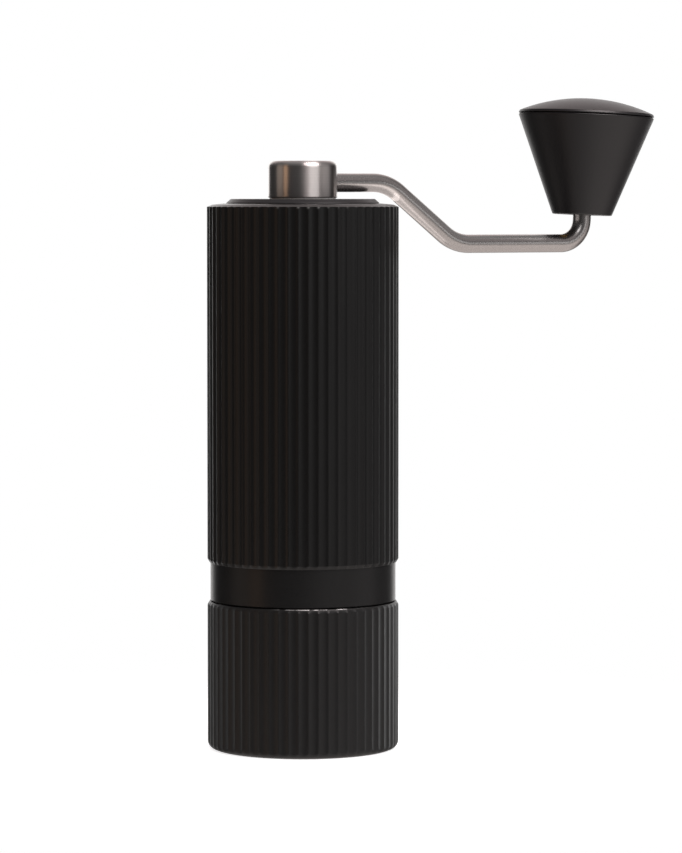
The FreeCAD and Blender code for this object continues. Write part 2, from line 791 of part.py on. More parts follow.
def cut_teeth(body, count, twist, sections):
    """Cut slanted V grooves, each between two (height, apex radius, base radius, half width)."""
    ends = []
    for share, (height, apex, base, half) in zip((0, 1), sections):
        turn = f"{share} * {twist}"
        corners = [
            (f"({apex}) * cos({turn})", f"({apex}) * sin({turn})"),
            (f"({base}) * cos({turn}) + ({half}) * sin({turn})", f"({base}) * sin({turn}) - ({half}) * cos({turn})"),
            (f"({base}) * cos({turn}) - ({half}) * sin({turn})", f"({base}) * sin({turn}) + ({half}) * cos({turn})"),
        ]
        ends.append(draw(body, corners, role="XY_Plane", lift=height))
    spread(body, loft_cut(body, *ends), count)


def make_burrs():
    """Fixed ring burr with the threaded ring under it, and the cone burr that turns inside it."""
    ring = turned("ring_burr", [
        ("ring_mouth", "ring_z"),
        ("ring_radius", "ring_z"),
        ("ring_radius", "ledge_z"),
        ("ring_throat", "ledge_z"),
        ("ring_waist", "waist_z"),
    ])
    half = "2 * tooth_width"
    cut_teeth(ring, "tooth_count", "tooth_twist", [
        ("ring_z", "ring_mouth + tooth_depth", "ring_mouth - tooth_depth", half),
        ("waist_z", "ring_waist + tooth_depth", "ring_waist - tooth_depth", half),
    ])

    nut = turned("ring_burr_nut", ring_outline(
        "ring_mouth + ring_nut_clearance", "ring_radius", "ring_z - ring_nut_height", "ring_z"))
    slot = draw(nut, [
        ("0", "-ring_nut_slot_width / 2"),
        ("2 * ring_radius", "-ring_nut_slot_width / 2"),
        ("2 * ring_radius", "ring_nut_slot_width / 2"),
        ("0", "ring_nut_slot_width / 2"),
    ], role="XY_Plane", lift="ring_z - ring_nut_height")
    spread(nut, cut(nut, slot, "ring_nut_slot_depth"), "ring_nut_slots")

    cone = turned("cone_burr", [
        ("0", "ring_z"),
        ("burr_radius", "ring_z"),
        ("burr_waist", "waist_z"),
        ("burr_top_radius", "burr_top_z"),
        ("spring_pocket_radius", "burr_top_z"),
        ("spring_pocket_radius", "spring_pocket_z"),
        ("0", "spring_pocket_z"),
    ])
    cut_teeth(cone, "tooth_count", "tooth_twist", [
        ("ring_z", "burr_radius - tooth_depth", "burr_radius + tooth_depth", half),
        ("waist_z", "burr_waist - tooth_depth", "burr_waist + tooth_depth", half),
    ])
    half = "2 * crusher_width"
    cut_teeth(cone, "crusher_count", "crusher_twist", [
        ("waist_z", "burr_waist - tooth_depth", "burr_waist + crusher_depth", half),
        ("burr_top_z", "burr_top_radius - crusher_depth", "burr_top_radius + crusher_depth", half),
    ])
    cut(cone, draw(cone, hexagon("socket_corner"), role="XY_Plane"))


def coil_points(radius, foot, head, turns):
    """Points an eighth of a turn apart up an even helix."""
    steps = int(round(turns * 8))
    for step in range(steps + 1):
        angle = math.pi / 4 * step
        height = foot + (head - foot) * step / steps
        yield FreeCAD.Vector(radius * math.cos(angle), radius * math.sin(angle), height)


def make_coil(label, radius, wire, foot, head, turns, shift):
    """A coil spring as one tube, on arcs of a quarter turn through a helix."""
    radius, wire, foot, head, turns, shift = (measure(text) for text in (radius, wire, foot, head, turns, shift))
    points = list(coil_points(radius, foot, head, turns))
    arcs = [Part.Arc(*points[first:first + 3]).toShape() for first in range(0, len(points) - 2, 2)]
    path = Part.Wire(arcs)
    tangent = path.Edges[0].tangentAt(path.Edges[0].FirstParameter)
    section = Part.Wire(Part.makeCircle(wire, points[0], tangent))
    coil = doc.addObject("Part::Feature", "body_" + label)
    coil.Label = label
    coil.Shape = path.makePipeShell([section], True, False)
    coil.Placement = FreeCAD.Placement(FreeCAD.Vector(shift, 0, 0), FreeCAD.Rotation())
    pieces[label] = coil
    gap = (head - foot) / turns - 2 * wire
    print(f"{label}: least gap between turns {gap:.2f} mm")


def make_burr_spring():
    """Spring that presses the cone burr down on the dial, and the washer over it."""
    turned("spring_washer", ring_outline(
        "shaft_radius + bearing_fit", "spring_washer_radius", "spring_washer_z", "lower_bearing_z"))
    end = "spring_wire_radius + spring_seat_gap"
    make_coil("burr_spring", "spring_radius", "spring_wire_radius", f"spring_pocket_z + {end}",
              f"spring_washer_z - {end}", "spring_turns", "0")


def make_dial():
    """Finger dial with its brass nut, and the click plate, ball and spring between dial and burr."""
    plate = turned("click_plate", [
        ("0", "click_z"),
        ("dial_radius - click_inset", "click_z"),
        ("dial_radius - click_inset", "ring_z"),
        ("0", "ring_z"),
    ])
    cut(plate, draw(plate, hexagon("socket_corner"), role="XY_Plane"))
    dimple = draw_circle(plate, "detent_circle", "0", "click_radius", lift="click_z")
    spread(plate, cut(plate, dimple, "click_depth"), "click_count")

    dial = turned("grind_dial", [
        ("0", "dial_z"),
        ("dial_radius - dial_bevel", "dial_z"),
        ("dial_radius", "dial_z + dial_bevel"),
        ("dial_radius", "dial_top_z - dial_bevel"),
        ("dial_radius - dial_bevel", "dial_top_z"),
        ("0", "dial_top_z"),
    ])
    nut_corner = "nut_flats / sqrt(3)"
    cut(dial, draw(dial, hexagon(f"{nut_corner} + nut_gap"), role="XY_Plane", lift="nut_z"))
    cut(dial, draw_circle(dial, "0", "0", "tail_radius + tail_bevel"))
    scallop = draw_circle(dial, "dial_radius + dial_scallop_radius - dial_scallop_depth", "0", "dial_scallop_radius")
    spread(dial, cut(dial, scallop), "dial_scallops")
    cut(dial, draw_circle(dial, "detent_circle", "0", "detent_bore", lift="detent_floor_z"))

    nut = add_body("dial_nut")
    pad(nut, draw(nut, hexagon(nut_corner), role="XY_Plane", lift="nut_z"), "dial_top_z - nut_z")
    cut(nut, draw_circle(nut, "0", "0", "tail_radius + tail_gap"))

    ball = doc.addObject("Part::Sphere", "body_detent_ball")
    ball.Label = "detent_ball"
    ball.setExpression("Radius", bind("detent_radius"))
    ball.setExpression("Placement.Base.x", bind("detent_circle"))
    ball.setExpression("Placement.Base.z", bind("detent_z"))
    pieces[ball.Label] = ball
    make_coil("detent_spring", "detent_coil", "detent_wire_radius",
              "detent_floor_z + detent_wire_radius + spring_seat_gap",
              "detent_z - detent_radius - detent_wire_radius", "detent_turns", "detent_circle")


def make_cup():
    """Fluted cup with the thread inside its mouth, and the seal ring that stays on the neck."""
    body = turned("catch_cup", [
        ("0", "0"),
        ("body_radius - cup_foot_round", "0", "cup_foot_round"),
        ("body_radius", "cup_foot_round"),
        ("body_radius", "cup_height - edge_rise"),
        ("body_radius - edge_inset", "cup_height"),
        ("seal_relief", "cup_height"),
        ("seal_relief", "seal_z - seal_half - relief_drop / 2"),
        ("cup_bore", "seal_z - seal_half - relief_drop"),
        *reversed(thread_notches("cup_bore", "+ thread_depth")),
        ("cup_bore", "cup_floor + cup_corner", "-cup_corner"),
        ("cup_bore - cup_corner", "cup_floor"),
        ("0", "cup_floor"),
    ])
    cut_flutes(body)

    seal = doc.addObject("Part::Torus", "body_cup_seal")
    seal.Label = "cup_seal"
    seal.setExpression("Radius1", bind("seal_middle"))
    seal.setExpression("Radius2", bind("seal_section"))
    seal.setExpression("Placement.Base.z", bind("seal_z"))
    pieces[seal.Label] = seal


def make_lid():
    """Lid with its skirt, and the clip and washer that hold the hub in it."""
    turned("lid", [
        ("lid_hole", "lid_plate_z"),
        ("skirt_radius - skirt_wall", "lid_plate_z"),
        ("skirt_radius - skirt_wall", "lid_z - skirt_length"),
        ("skirt_radius", "lid_z - skirt_length"),
        ("skirt_radius", "lid_z"),
        ("lid_radius", "lid_z"),
        ("lid_radius", "lid_top_z - lid_bevel_drop"),
        ("lid_radius - lid_bevel", "lid_top_z"),
        ("lid_hole", "lid_top_z"),
    ])
    turned("hub_washer", ring_outline("lid_hole", "hub_radius - hub_washer_inset", "lid_top_z", "hub_z"))
    open_ring("lid_clip", "boss_groove + clip_slack", "boss_radius + lid_clip_reach", "lid_clip_z",
              "lid_clip_thickness")


def make_hub():
    """Hub with the hexagon socket for the shaft and the hole for the arm."""
    body = turned("crank_hub", [
        ("0", "boss_z"),
        ("boss_radius", "boss_z"),
        ("boss_radius", "lid_clip_z - clip_slack"),
        ("boss_groove", "lid_clip_z - clip_slack"),
        ("boss_groove", "lid_clip_z + lid_clip_thickness + clip_slack"),
        ("boss_radius", "lid_clip_z + lid_clip_thickness + clip_slack"),
        ("boss_radius", "hub_z"),
        ("hub_radius - hub_foot_bevel", "hub_z"),
        ("hub_radius", "hub_z + hub_foot_bevel"),
        ("hub_radius", "hub_top_z - hub_round", "hub_round"),
        ("hub_radius - hub_round", "hub_top_z"),
        ("0", "hub_top_z"),
    ])
    socket = draw(body, hexagon("socket_corner"), role="XY_Plane", lift="boss_z")
    cut(body, socket, "socket_top_z - boss_z")
    rod_hole = draw_circle(body, "0", "crank_z", "crank_radius + crank_fit", role="YZ_Plane", lift="crank_root")
    cut(body, rod_hole)


def set_on_knob_axis(piece, along="0"):
    """Stand a piece that was made along Z on the leaning axis of the knob."""
    lean = measure("knob_lean")
    piece.Placement = FreeCAD.Placement(FreeCAD.Vector(), FreeCAD.Rotation(FreeCAD.Vector(0, 1, 0), lean))
    piece.setExpression("Placement.Rotation.Angle", bind("knob_lean"))
    piece.setExpression("Placement.Base.x", bind(f"crank_reach + ({along}) * sin(knob_lean)"))
    piece.setExpression("Placement.Base.z", bind(f"crank_low_z + ({along}) * cos(knob_lean)"))


def make_arm():
    """Bent round rod, bored at its end for the knob's bolt."""
    rod = doc.addObject("PartDesign::Body", "body_crank_rod")
    rod.Label = "crank_rod"
    drop_x = "bend_run * cos(crank_slope)"
    drop_z = "bend_run * sin(crank_slope)"
    path = draw(rod, [
        ("crank_root", "crank_z"),
        ("crank_bend_at - bend_run", "crank_z", "-crank_bend_radius"),
        (f"crank_bend_at + {drop_x}", f"crank_z - {drop_z}"),
        (f"crank_second_bend - {drop_x}", f"crank_low_z + {drop_z}", "crank_bend_radius"),
        ("crank_second_bend + bend_run", "crank_low_z"),
        ("crank_reach - elbow_run", "crank_low_z", "crank_elbow_radius"),
        ("crank_reach + elbow_run * sin(knob_lean)", "crank_low_z + elbow_run * cos(knob_lean)"),
        ("crank_reach + rod_end * sin(knob_lean)", "crank_low_z + rod_end * cos(knob_lean)"),
    ], closed=False)
    section = draw_circle(rod, "0", "crank_z", "crank_radius", role="YZ_Plane", lift="crank_root")
    pipe = rod.newObject("PartDesign::AdditivePipe", "crank_rod_pipe")
    pipe.Profile = section
    pipe.Spine = path
    rod.Tip = pipe

    bore = doc.addObject("Part::Cylinder", "crank_bolt_bore")
    bore.setExpression("Radius", bind("bolt_thread_radius + bush_seat_gap"))
    bore.setExpression("Height", bind("bolt_thread_length + bush_play"))
    set_on_knob_axis(bore, "rod_end - bolt_thread_length")
    arm = doc.addObject("Part::Cut", "body_crank_arm")
    arm.Label = "crank_arm"
    arm.Base = rod
    arm.Tool = bore
    pieces[arm.Label] = arm


def make_knob():
    """Conical knob with its domed cap, two flanged bushes and the shoulder bolt it turns on."""
    flange_top = "lower_bush_foot + bush_flange"
    upper_seat = "upper_bush_top - bush_flange"
    knob = turned("knob_body", [
        ("flange_seat", "knob_foot"),
        ("knob_foot_radius - knob_foot_round", "knob_foot"),
        ("knob_foot_radius", "knob_foot + knob_foot_round"),
        ("knob_rim_radius", "knob_rim"),
        ("cap_plug_radius", "knob_rim"),
        ("cap_plug_radius", "plug_floor"),
        ("head_pocket", "plug_floor"),
        ("head_pocket", upper_seat),
        ("bush_seat", upper_seat),
        ("bush_seat", flange_top),
        ("flange_seat", flange_top),
    ])
    cap = turned("knob_cap", [
        ("0", "plug_floor"),
        ("cap_plug_radius - cap_plug_gap", "plug_floor"),
        ("cap_plug_radius - cap_plug_gap", "cap_foot"),
        ("cap_rim_radius", "cap_foot"),
        ("cap_rim_radius", "dome_foot", "dome_radius"),
        ("0", "dome_foot + cap_dome"),
    ])
    lower_bush = turned("knob_bush_lower", [
        ("bush_bore", "lower_bush_foot"),
        ("flange_radius", "lower_bush_foot"),
        ("flange_radius", flange_top),
        ("bush_radius", flange_top),
        ("bush_radius", "lower_bush_foot + bush_length"),
        ("bush_bore", "lower_bush_foot + bush_length"),
    ])
    upper_bush = turned("knob_bush_upper", [
        ("bush_bore", "upper_bush_top - bush_length"),
        ("bush_radius", "upper_bush_top - bush_length"),
        ("bush_radius", upper_seat),
        ("flange_radius", upper_seat),
        ("flange_radius", "upper_bush_top"),
        ("bush_bore", "upper_bush_top"),
    ])
    washer = turned("knob_washer", ring_outline(
        "bolt_radius + bush_seat_gap", "bolt_head_radius", "knob_washer_foot", "head_foot"))
    bolt = turned("knob_bolt", [
        ("0", "rod_end - bolt_thread_length"),
        ("bolt_thread_radius", "rod_end - bolt_thread_length"),
        ("bolt_thread_radius", "rod_end"),
        ("bolt_radius", "rod_end"),
        ("bolt_radius", "head_foot"),
        ("bolt_head_radius", "head_foot"),
        ("bolt_head_radius", "head_top"),
        ("0", "head_top"),
    ])
    recess = hexagon("bolt_socket_flats / sqrt(3)")
    cut(bolt, draw(bolt, recess, role="XY_Plane", lift="head_top - bolt_socket_depth"))
    for piece in (knob, cap, lower_bush, upper_bush, washer, bolt):
        set_on_knob_axis(piece)


def check_document():
    """Stop on a failed object, a cut that removed nothing or a bad shape."""
    for item in doc.Objects:
        if {"Invalid", "Error"} & set(item.State):
            raise RuntimeError(f"{item.Label} failed: {item.State}")
        takes_away = item.TypeId in ("PartDesign::Pocket", "PartDesign::SubtractiveLoft")
        if takes_away and item.Shape.Volume >= item.BaseFeature.Shape.Volume:
            raise RuntimeError(f"{item.Label} cuts nothing")
    for label, piece in pieces.items():
        if piece.Shape.isNull() or not piece.Shape.isValid():
            raise RuntimeError(f"{label} has no valid shape")


def write_steps():
    """Write each piece to its own file."""
    os.makedirs("parts", exist_ok=True)
    for label, piece in pieces.items():
        piece.Shape.exportStep(f"parts/{label}.step")
        print(f"{label}: {len(piece.Shape.Solids)} solids, {piece.Shape.Volume:.1f} mm3")


def main():
    """Build the grinder from the cup up and write its pieces."""
    fill_sheet()
    make_cup()
    make_core()
    make_sleeve()
    make_bridges()
    make_bridge_screws()
    make_bearing("upper", "upper_bearing_z")
    make_bearing("lower", "lower_bearing_z")
    make_shaft()
    make_burrs()
    make_burr_spring()
    make_dial()
    make_lid()
    make_hub()
    make_arm()
    make_knob()
    doc.recompute()
    check_document()
    write_steps()


main()
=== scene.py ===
"""Dress the hand crank coffee grinder and set up its picture.

Sleeve, cup, lid, crank, knob and the burr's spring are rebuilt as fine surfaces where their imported
solids are, every piece gets its finish, and a plain studio and a camera follow the photograph. Sizes
are in millimetres on the frame's axes until a mesh or a light is made.
"""

from __future__ import annotations

import json
import logging
import math
from dataclasses import dataclass, field, replace
from enum import Enum
from typing import Any, Union

import bpy
import numpy as np
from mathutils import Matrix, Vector

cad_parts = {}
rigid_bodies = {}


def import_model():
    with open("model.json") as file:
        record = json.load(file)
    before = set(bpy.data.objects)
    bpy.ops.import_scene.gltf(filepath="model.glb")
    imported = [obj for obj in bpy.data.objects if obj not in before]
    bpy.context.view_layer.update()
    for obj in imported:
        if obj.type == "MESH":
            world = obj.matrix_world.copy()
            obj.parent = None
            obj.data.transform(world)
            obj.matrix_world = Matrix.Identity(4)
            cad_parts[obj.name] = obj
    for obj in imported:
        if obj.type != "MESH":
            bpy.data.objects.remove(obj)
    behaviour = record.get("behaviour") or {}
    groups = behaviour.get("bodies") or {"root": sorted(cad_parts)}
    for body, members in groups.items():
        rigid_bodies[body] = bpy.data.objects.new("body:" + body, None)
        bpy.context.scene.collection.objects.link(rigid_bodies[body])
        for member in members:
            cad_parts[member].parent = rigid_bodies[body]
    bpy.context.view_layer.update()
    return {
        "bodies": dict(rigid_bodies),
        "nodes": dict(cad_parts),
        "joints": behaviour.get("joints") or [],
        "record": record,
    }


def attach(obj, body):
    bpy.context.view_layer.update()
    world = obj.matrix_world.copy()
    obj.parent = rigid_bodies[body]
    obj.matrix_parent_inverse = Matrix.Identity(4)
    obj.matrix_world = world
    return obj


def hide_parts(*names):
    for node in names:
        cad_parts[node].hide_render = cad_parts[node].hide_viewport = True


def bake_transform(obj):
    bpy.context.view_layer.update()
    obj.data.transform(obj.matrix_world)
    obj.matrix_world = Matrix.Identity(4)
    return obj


LOG = logging.getLogger("grinder")
MM = 0.001
UV_NAME = "lay"
# The mesh attribute of bare rims: wear, and on the side towards the camera a painted glint.
GLINT_WEAR_MARK = "edge"
NOISE_MIDDLE = 0.5
HEXAGON = 6

# The angles of the columns round a turned piece, a rod and a spring's wire.
ROUND_TURNS = np.linspace(0.0, 2 * math.pi, 192, endpoint=False)
ROD_TURNS = ROUND_TURNS[::3]
WIRE_TURNS = ROUND_TURNS[::12]

# A rounded corner: the points on its arc, how far from the arc the next point stands, in millimetres
# and as a share of the side, and the share of a side that the arc may take, where the corner at the
# other end is rounded too and where it is square. Points closer than the last value are one.
ARC_POINTS = 7
EDGE_SUPPORT = 0.12
SUPPORT_SHARE = 0.03
SHARED_SIDE = 0.48
WHOLE_SIDE = 0.97
SAME_POINT = 1e-6

# Corner radii of edges that are left square, kept crisp or eased.
SQUARE = 0.0
CRISP = 0.05
EASED = 0.1

# Wear of a rim, which on the side it favours is also a painted glint: its height at the rim, where 1 is
# bare, and how fast it falls away round the rim.
WEAR_GLINT_HEIGHT = 1.5
WEAR_GLINT_FALL = 6.0

Colour = tuple[float, float, float]


def soft_outline(
    corners: list[tuple[float, float, float]], closed: bool, arc_points: int = ARC_POINTS
) -> np.ndarray:
    """Round the corners of an outline.

    A corner C with unit sides u and v and radius q becomes the arc from A = C + u q / tan(h) to
    B = C + v q / tan(h), h being half the angle between the sides. The arc is the rational quadratic
    (A (1-t)^2 + C w + B t^2) / ((1-t)^2 + w + t^2) with w = 2 sin(h) t (1-t). One more point stands
    just outside each end of an arc, so that the flats beside it shade flat.

    Args:
        corners: Across, up and corner radius of each corner, in order.
        closed: Whether the last corner joins the first.
        arc_points: The number of points on each arc.

    Returns:
        The points of the rounded outline, two columns.
    """
    table = np.array(corners, dtype=float)
    spots = table[:, :2]
    back = np.roll(spots, 1, axis=0) - spots
    ahead = np.roll(spots, -1, axis=0) - spots
    back_length = np.linalg.norm(back, axis=1, keepdims=True)
    ahead_length = np.linalg.norm(ahead, axis=1, keepdims=True)
    back = back / back_length
    ahead = ahead / ahead_length
    half = np.arccos(np.clip(np.sum(back * ahead, axis=1, keepdims=True), -1.0, 1.0)) / 2
    rounded = table[:, 2:] > 0.0
    back_room = back_length * np.where(np.roll(rounded, 1, axis=0), SHARED_SIDE, WHOLE_SIDE)
    ahead_room = ahead_length * np.where(np.roll(rounded, -1, axis=0), SHARED_SIDE, WHOLE_SIDE)
    reach = np.minimum(table[:, 2:] / np.tan(half), np.minimum(back_room, ahead_room))
    share = np.linspace(0.0, 1.0, arc_points)[None, :, None]
    start = (spots + back * reach)[:, None]
    end = (spots + ahead * reach)[:, None]
    pull = 2 * np.sin(half)[:, None] * share * (1 - share)
    arc = start * (1 - share) ** 2 + spots[:, None] * pull + end * share**2
    arc = arc / ((1 - share) ** 2 + pull + share**2)
    lead = start + (back * np.minimum(EDGE_SUPPORT, SUPPORT_SHARE * back_length))[:, None]
    trail = end + (ahead * np.minimum(EDGE_SUPPORT, SUPPORT_SHARE * ahead_length))[:, None]
    blocks = np.concatenate([lead, arc, trail], axis=1)
    if closed:
        points = blocks.reshape(-1, 2)
    else:
        points = np.concatenate([spots[:1], blocks[1:-1].reshape(-1, 2), spots[-1:]])
    steps = np.linalg.norm(points - np.roll(points, 1, axis=0), axis=1)
    return points[steps > SAME_POINT]


def turned(outline: np.ndarray, turns: np.ndarray, wall: np.ndarray | None = None) -> np.ndarray:
    """Carry an outline round the Z axis: x = r cos a, y = r sin a, with r held to the wall.

    Args:
        outline: Radius and height of each point.
        turns: The angles a of the columns.
        wall: The largest radius at each angle, if the piece is scalloped.

    Returns:
        A grid of points, one row for each outline point.
    """
    radius = np.broadcast_to(outline[:, :1], (len(outline), len(turns)))
    if wall is not None:
        radius = np.minimum(radius, wall[None, :])
    height = np.broadcast_to(outline[:, 1:], radius.shape)
    return np.stack([radius * np.cos(turns), radius * np.sin(turns), height], axis=-1)


def swept(path: np.ndarray, radius: float, turns: np.ndarray) -> np.ndarray:
    """Carry a circle along a path in the XZ plane: p + r (cos a n - sin a y), with flat ends.

    Args:
        path: Points (x, z); the normal n is the path's direction turned a quarter.
        radius: The rod's radius r.
        turns: The angles a of the columns.

    Returns:
        A grid of points, the first and last rows on the path itself.
    """
    steps = np.linalg.norm(np.diff(path, axis=0), axis=1)
    along = np.gradient(path, np.concatenate([[0.0], np.cumsum(steps)]), axis=0)
    along = along / np.linalg.norm(along, axis=1, keepdims=True)
    rows = np.concatenate([[0], np.arange(len(path)), [len(path) - 1]])
    spread = np.full((len(rows), 1), radius)
    spread[[0, -1]] = 0.0
    across = spread * np.cos(turns)
    x = path[rows, :1] - along[rows, 1:] * across
    z = path[rows, 1:] + along[rows, :1] * across
    return np.stack([x, -spread * np.sin(turns), z], axis=-1)


def skin(
    name: str,
    grid: np.ndarray,
    ring: bool = False,
    poles: tuple[bool, bool] = (False, False),
    marks: dict[str, np.ndarray] | None = None,
) -> bpy.types.Object:
    """Make a mesh object of a grid whose columns close round.

    Args:
        name: The piece's name.
        grid: Points in millimetres, rows along the outline and columns around.
        ring: Whether the last row joins the first.
        poles: Whether the first and the last row are single points.
        marks: Number attributes, one value for each grid point.

    Returns:
        The object, at the origin, with a UV map of millimetres along and turns around.
    """
    rows, columns = grid.shape[:2]
    index = np.arange(rows * columns).reshape(rows, columns)
    if poles[0]:
        index[0] = index[0, 0]
    if poles[1]:
        index[-1] = index[-1, 0]
    index = np.pad(index, ((0, int(ring)), (0, 1)), mode="wrap")
    first_column = np.pad(grid[:, 0], ((0, 1), (0, 0)), mode="wrap")
    steps = np.linalg.norm(np.diff(first_column, axis=0), axis=1)
    along = np.concatenate([[0.0], np.cumsum(steps)])[: len(index)]
    lay = np.stack(np.meshgrid(along, np.linspace(0.0, 1.0, columns + 1), indexing="ij"), axis=-1)
    quads = np.stack([index[:-1, :-1], index[:-1, 1:], index[1:, 1:], index[1:, :-1]], axis=2)
    quad_lay = np.stack([lay[:-1, :-1], lay[:-1, 1:], lay[1:, 1:], lay[1:, :-1]], axis=2)
    last = len(quads) - int(poles[1])
    groups = [(quads[int(poles[0]) : last], quad_lay[int(poles[0]) : last])]
    if poles[0]:
        groups.append((quads[:1, :, [0, 2, 3]], quad_lay[:1, :, [0, 2, 3]]))
    if poles[1]:
        groups.append((quads[-1:, :, :3], quad_lay[-1:, :, :3]))
    used = np.unique(np.concatenate([faces.ravel() for faces, _ in groups]))
    number = np.zeros(rows * columns, dtype=int)
    number[used] = np.arange(len(used))
    faces = [face for group, _ in groups for face in number[group].reshape(-1, group.shape[-1]).tolist()]
    mesh = bpy.data.meshes.new(name)
    mesh.from_pydata((grid.reshape(-1, 3)[used] * MM).tolist(), [], faces)
    uv = mesh.uv_layers.new(name=UV_NAME)
    uv.data.foreach_set("uv", np.concatenate([flat.ravel() for _, flat in groups]))
    for mark, values in (marks or {}).items():
        attribute = mesh.attributes.new(mark, "FLOAT", "POINT")
        attribute.data.foreach_set("value", values.reshape(-1)[used].astype(np.float32))
    mesh.shade_smooth()
    mesh.update()
    piece = bpy.data.objects.new(name, mesh)
    bpy.context.scene.collection.objects.link(piece)
    return piece


class Signal:
    """A shader socket that takes part in arithmetic."""

    def __init__(self, board: Board, socket: bpy.types.NodeSocket) -> None:
        """Keep the board that the socket is on, and the socket."""
        self.board = board
        self.socket = socket

    def _math(self, operation: str, first: Value, second: Value) -> Signal:
        """Add one Math node."""
        return self.board.node("ShaderNodeMath", {"operation": operation}, {0: first, 1: second})

    def __add__(self, other: Value) -> Signal:
        """Sum."""
        return self._math("ADD", self, other)

    __radd__ = __add__

    def __sub__(self, other: Value) -> Signal:
        """Difference."""
        return self._math("SUBTRACT", self, other)

    def __rsub__(self, other: Value) -> Signal:
        """Difference, the other way round."""
        return self._math("SUBTRACT", other, self)

    def __mul__(self, other: Value) -> Signal:
        """Product."""
        return self._math("MULTIPLY", self, other)

    __rmul__ = __mul__

    def __pow__(self, other: Value) -> Signal:
        """Power."""
        return self._math("POWER", self, other)

    def between(self, low: float, high: float) -> Signal:
        """Zero below low and one above high, smooth in between."""
        limits = {"Value": self, "From Min": low, "From Max": high}
        return self.board.node("ShaderNodeMapRange", {"interpolation_type": "SMOOTHSTEP"}, limits)


Value = Union[Signal, float, Colour]


class Board:
    """The node tree of a material or of the world."""

    def __init__(self, tree: bpy.types.NodeTree, shader: str, output: str) -> None:
        """Start a tree afresh with one shader on its output.

        Args:
            tree: The tree to fill.
            shader: The shader node's type.
            output: The output node's type.
        """
        self.tree = tree
        tree.nodes.clear()
        self.shader = tree.nodes.new(shader)
        end = tree.nodes.new(output)
        tree.links.new(self.shader.outputs[0], end.inputs["Surface"])

    def feed(self, socket: bpy.types.NodeSocket, value: Value) -> None:
        """Link a signal to a socket, or set a plain value on it.

        Args:
            socket: The socket.
            value: The signal, number or colour that it gets.
        """
        if isinstance(value, Signal):
            self.tree.links.new(value.socket, socket)
        elif isinstance(value, tuple) and len(socket.default_value) == 4:
            socket.default_value = (*value, 1.0)
        else:
            socket.default_value = value

    def node(
        self,
        kind: str,
        settings: dict[str, Any],
        sockets: dict[Union[int, str], Value],
        output: Union[int, str] = 0,
    ) -> Signal:
        """Add a node.

        Args:
            kind: The node's type.
            settings: Its own properties, set first.
            sockets: Values or links of its inputs.
            output: Which output to give back.

        Returns:
            That output.
        """
        made = self.tree.nodes.new(kind)
        for key, value in settings.items():
            if key == "stops":
                self.set_stops(made.color_ramp, value)
            else:
                setattr(made, key, value)
        for key, value in sockets.items():
            self.feed(made.inputs[key], value)
        return Signal(self, made.outputs[output])

    @staticmethod
    def set_stops(ramp: bpy.types.ColorRamp, stops: tuple[tuple[float, Colour], ...]) -> None:
        """Put a ramp's stops, given in rising order, in place of its own two.

        Args:
            ramp: The ramp of a node.
            stops: Place from 0 to 1, and colour, of each stop.
        """
        ramp.elements.remove(ramp.elements[1])
        for number, (place, colour) in enumerate(stops):
            stop = ramp.elements[0] if number == 0 else ramp.elements.new(place)
            stop.position = place
            stop.color = (*colour, 1.0)

    def set(self, socket: str, value: Value) -> None:
        """Feed one socket of the shader."""
        self.feed(self.shader.inputs[socket], value)

    def spot(self) -> Signal:
        """The place on the piece in millimetres."""
        place = self.node("ShaderNodeTexCoord", {}, {}, "Object")
        return self.node("ShaderNodeVectorMath", {"operation": "SCALE"}, {0: place, "Scale": 1 / MM})

    def parts(self, vector: Signal) -> tuple[Signal, Signal, Signal]:
        """The three numbers of a vector."""
        return tuple(self.node("ShaderNodeSeparateXYZ", {}, {0: vector}, axis) for axis in range(3))

    def noise(self, vector: Signal, size: float, detail: float = 2.0) -> Signal:
        """Soft noise, its lumps about as wide as the size."""
        spread = {"Vector": vector, "Scale": 1 / size, "Detail": detail}
        return self.node("ShaderNodeTexNoise", {}, spread)

    def mix(self, share: Signal, first: Value, second: Value) -> Signal:
        """One colour where the share is zero and another where it is one."""
        return self.node("ShaderNodeMix", {"data_type": "RGBA"}, {0: share, 6: first, 7: second}, 2)


class Lay(Enum):
    """How a surface was made, which sets the run of its grain."""

    BLASTED = "even grain of bead blasting or rolling"
    TURNED = "rings round the shaft's axis"
    MOULDED = "soft pebble of a moulding tool"


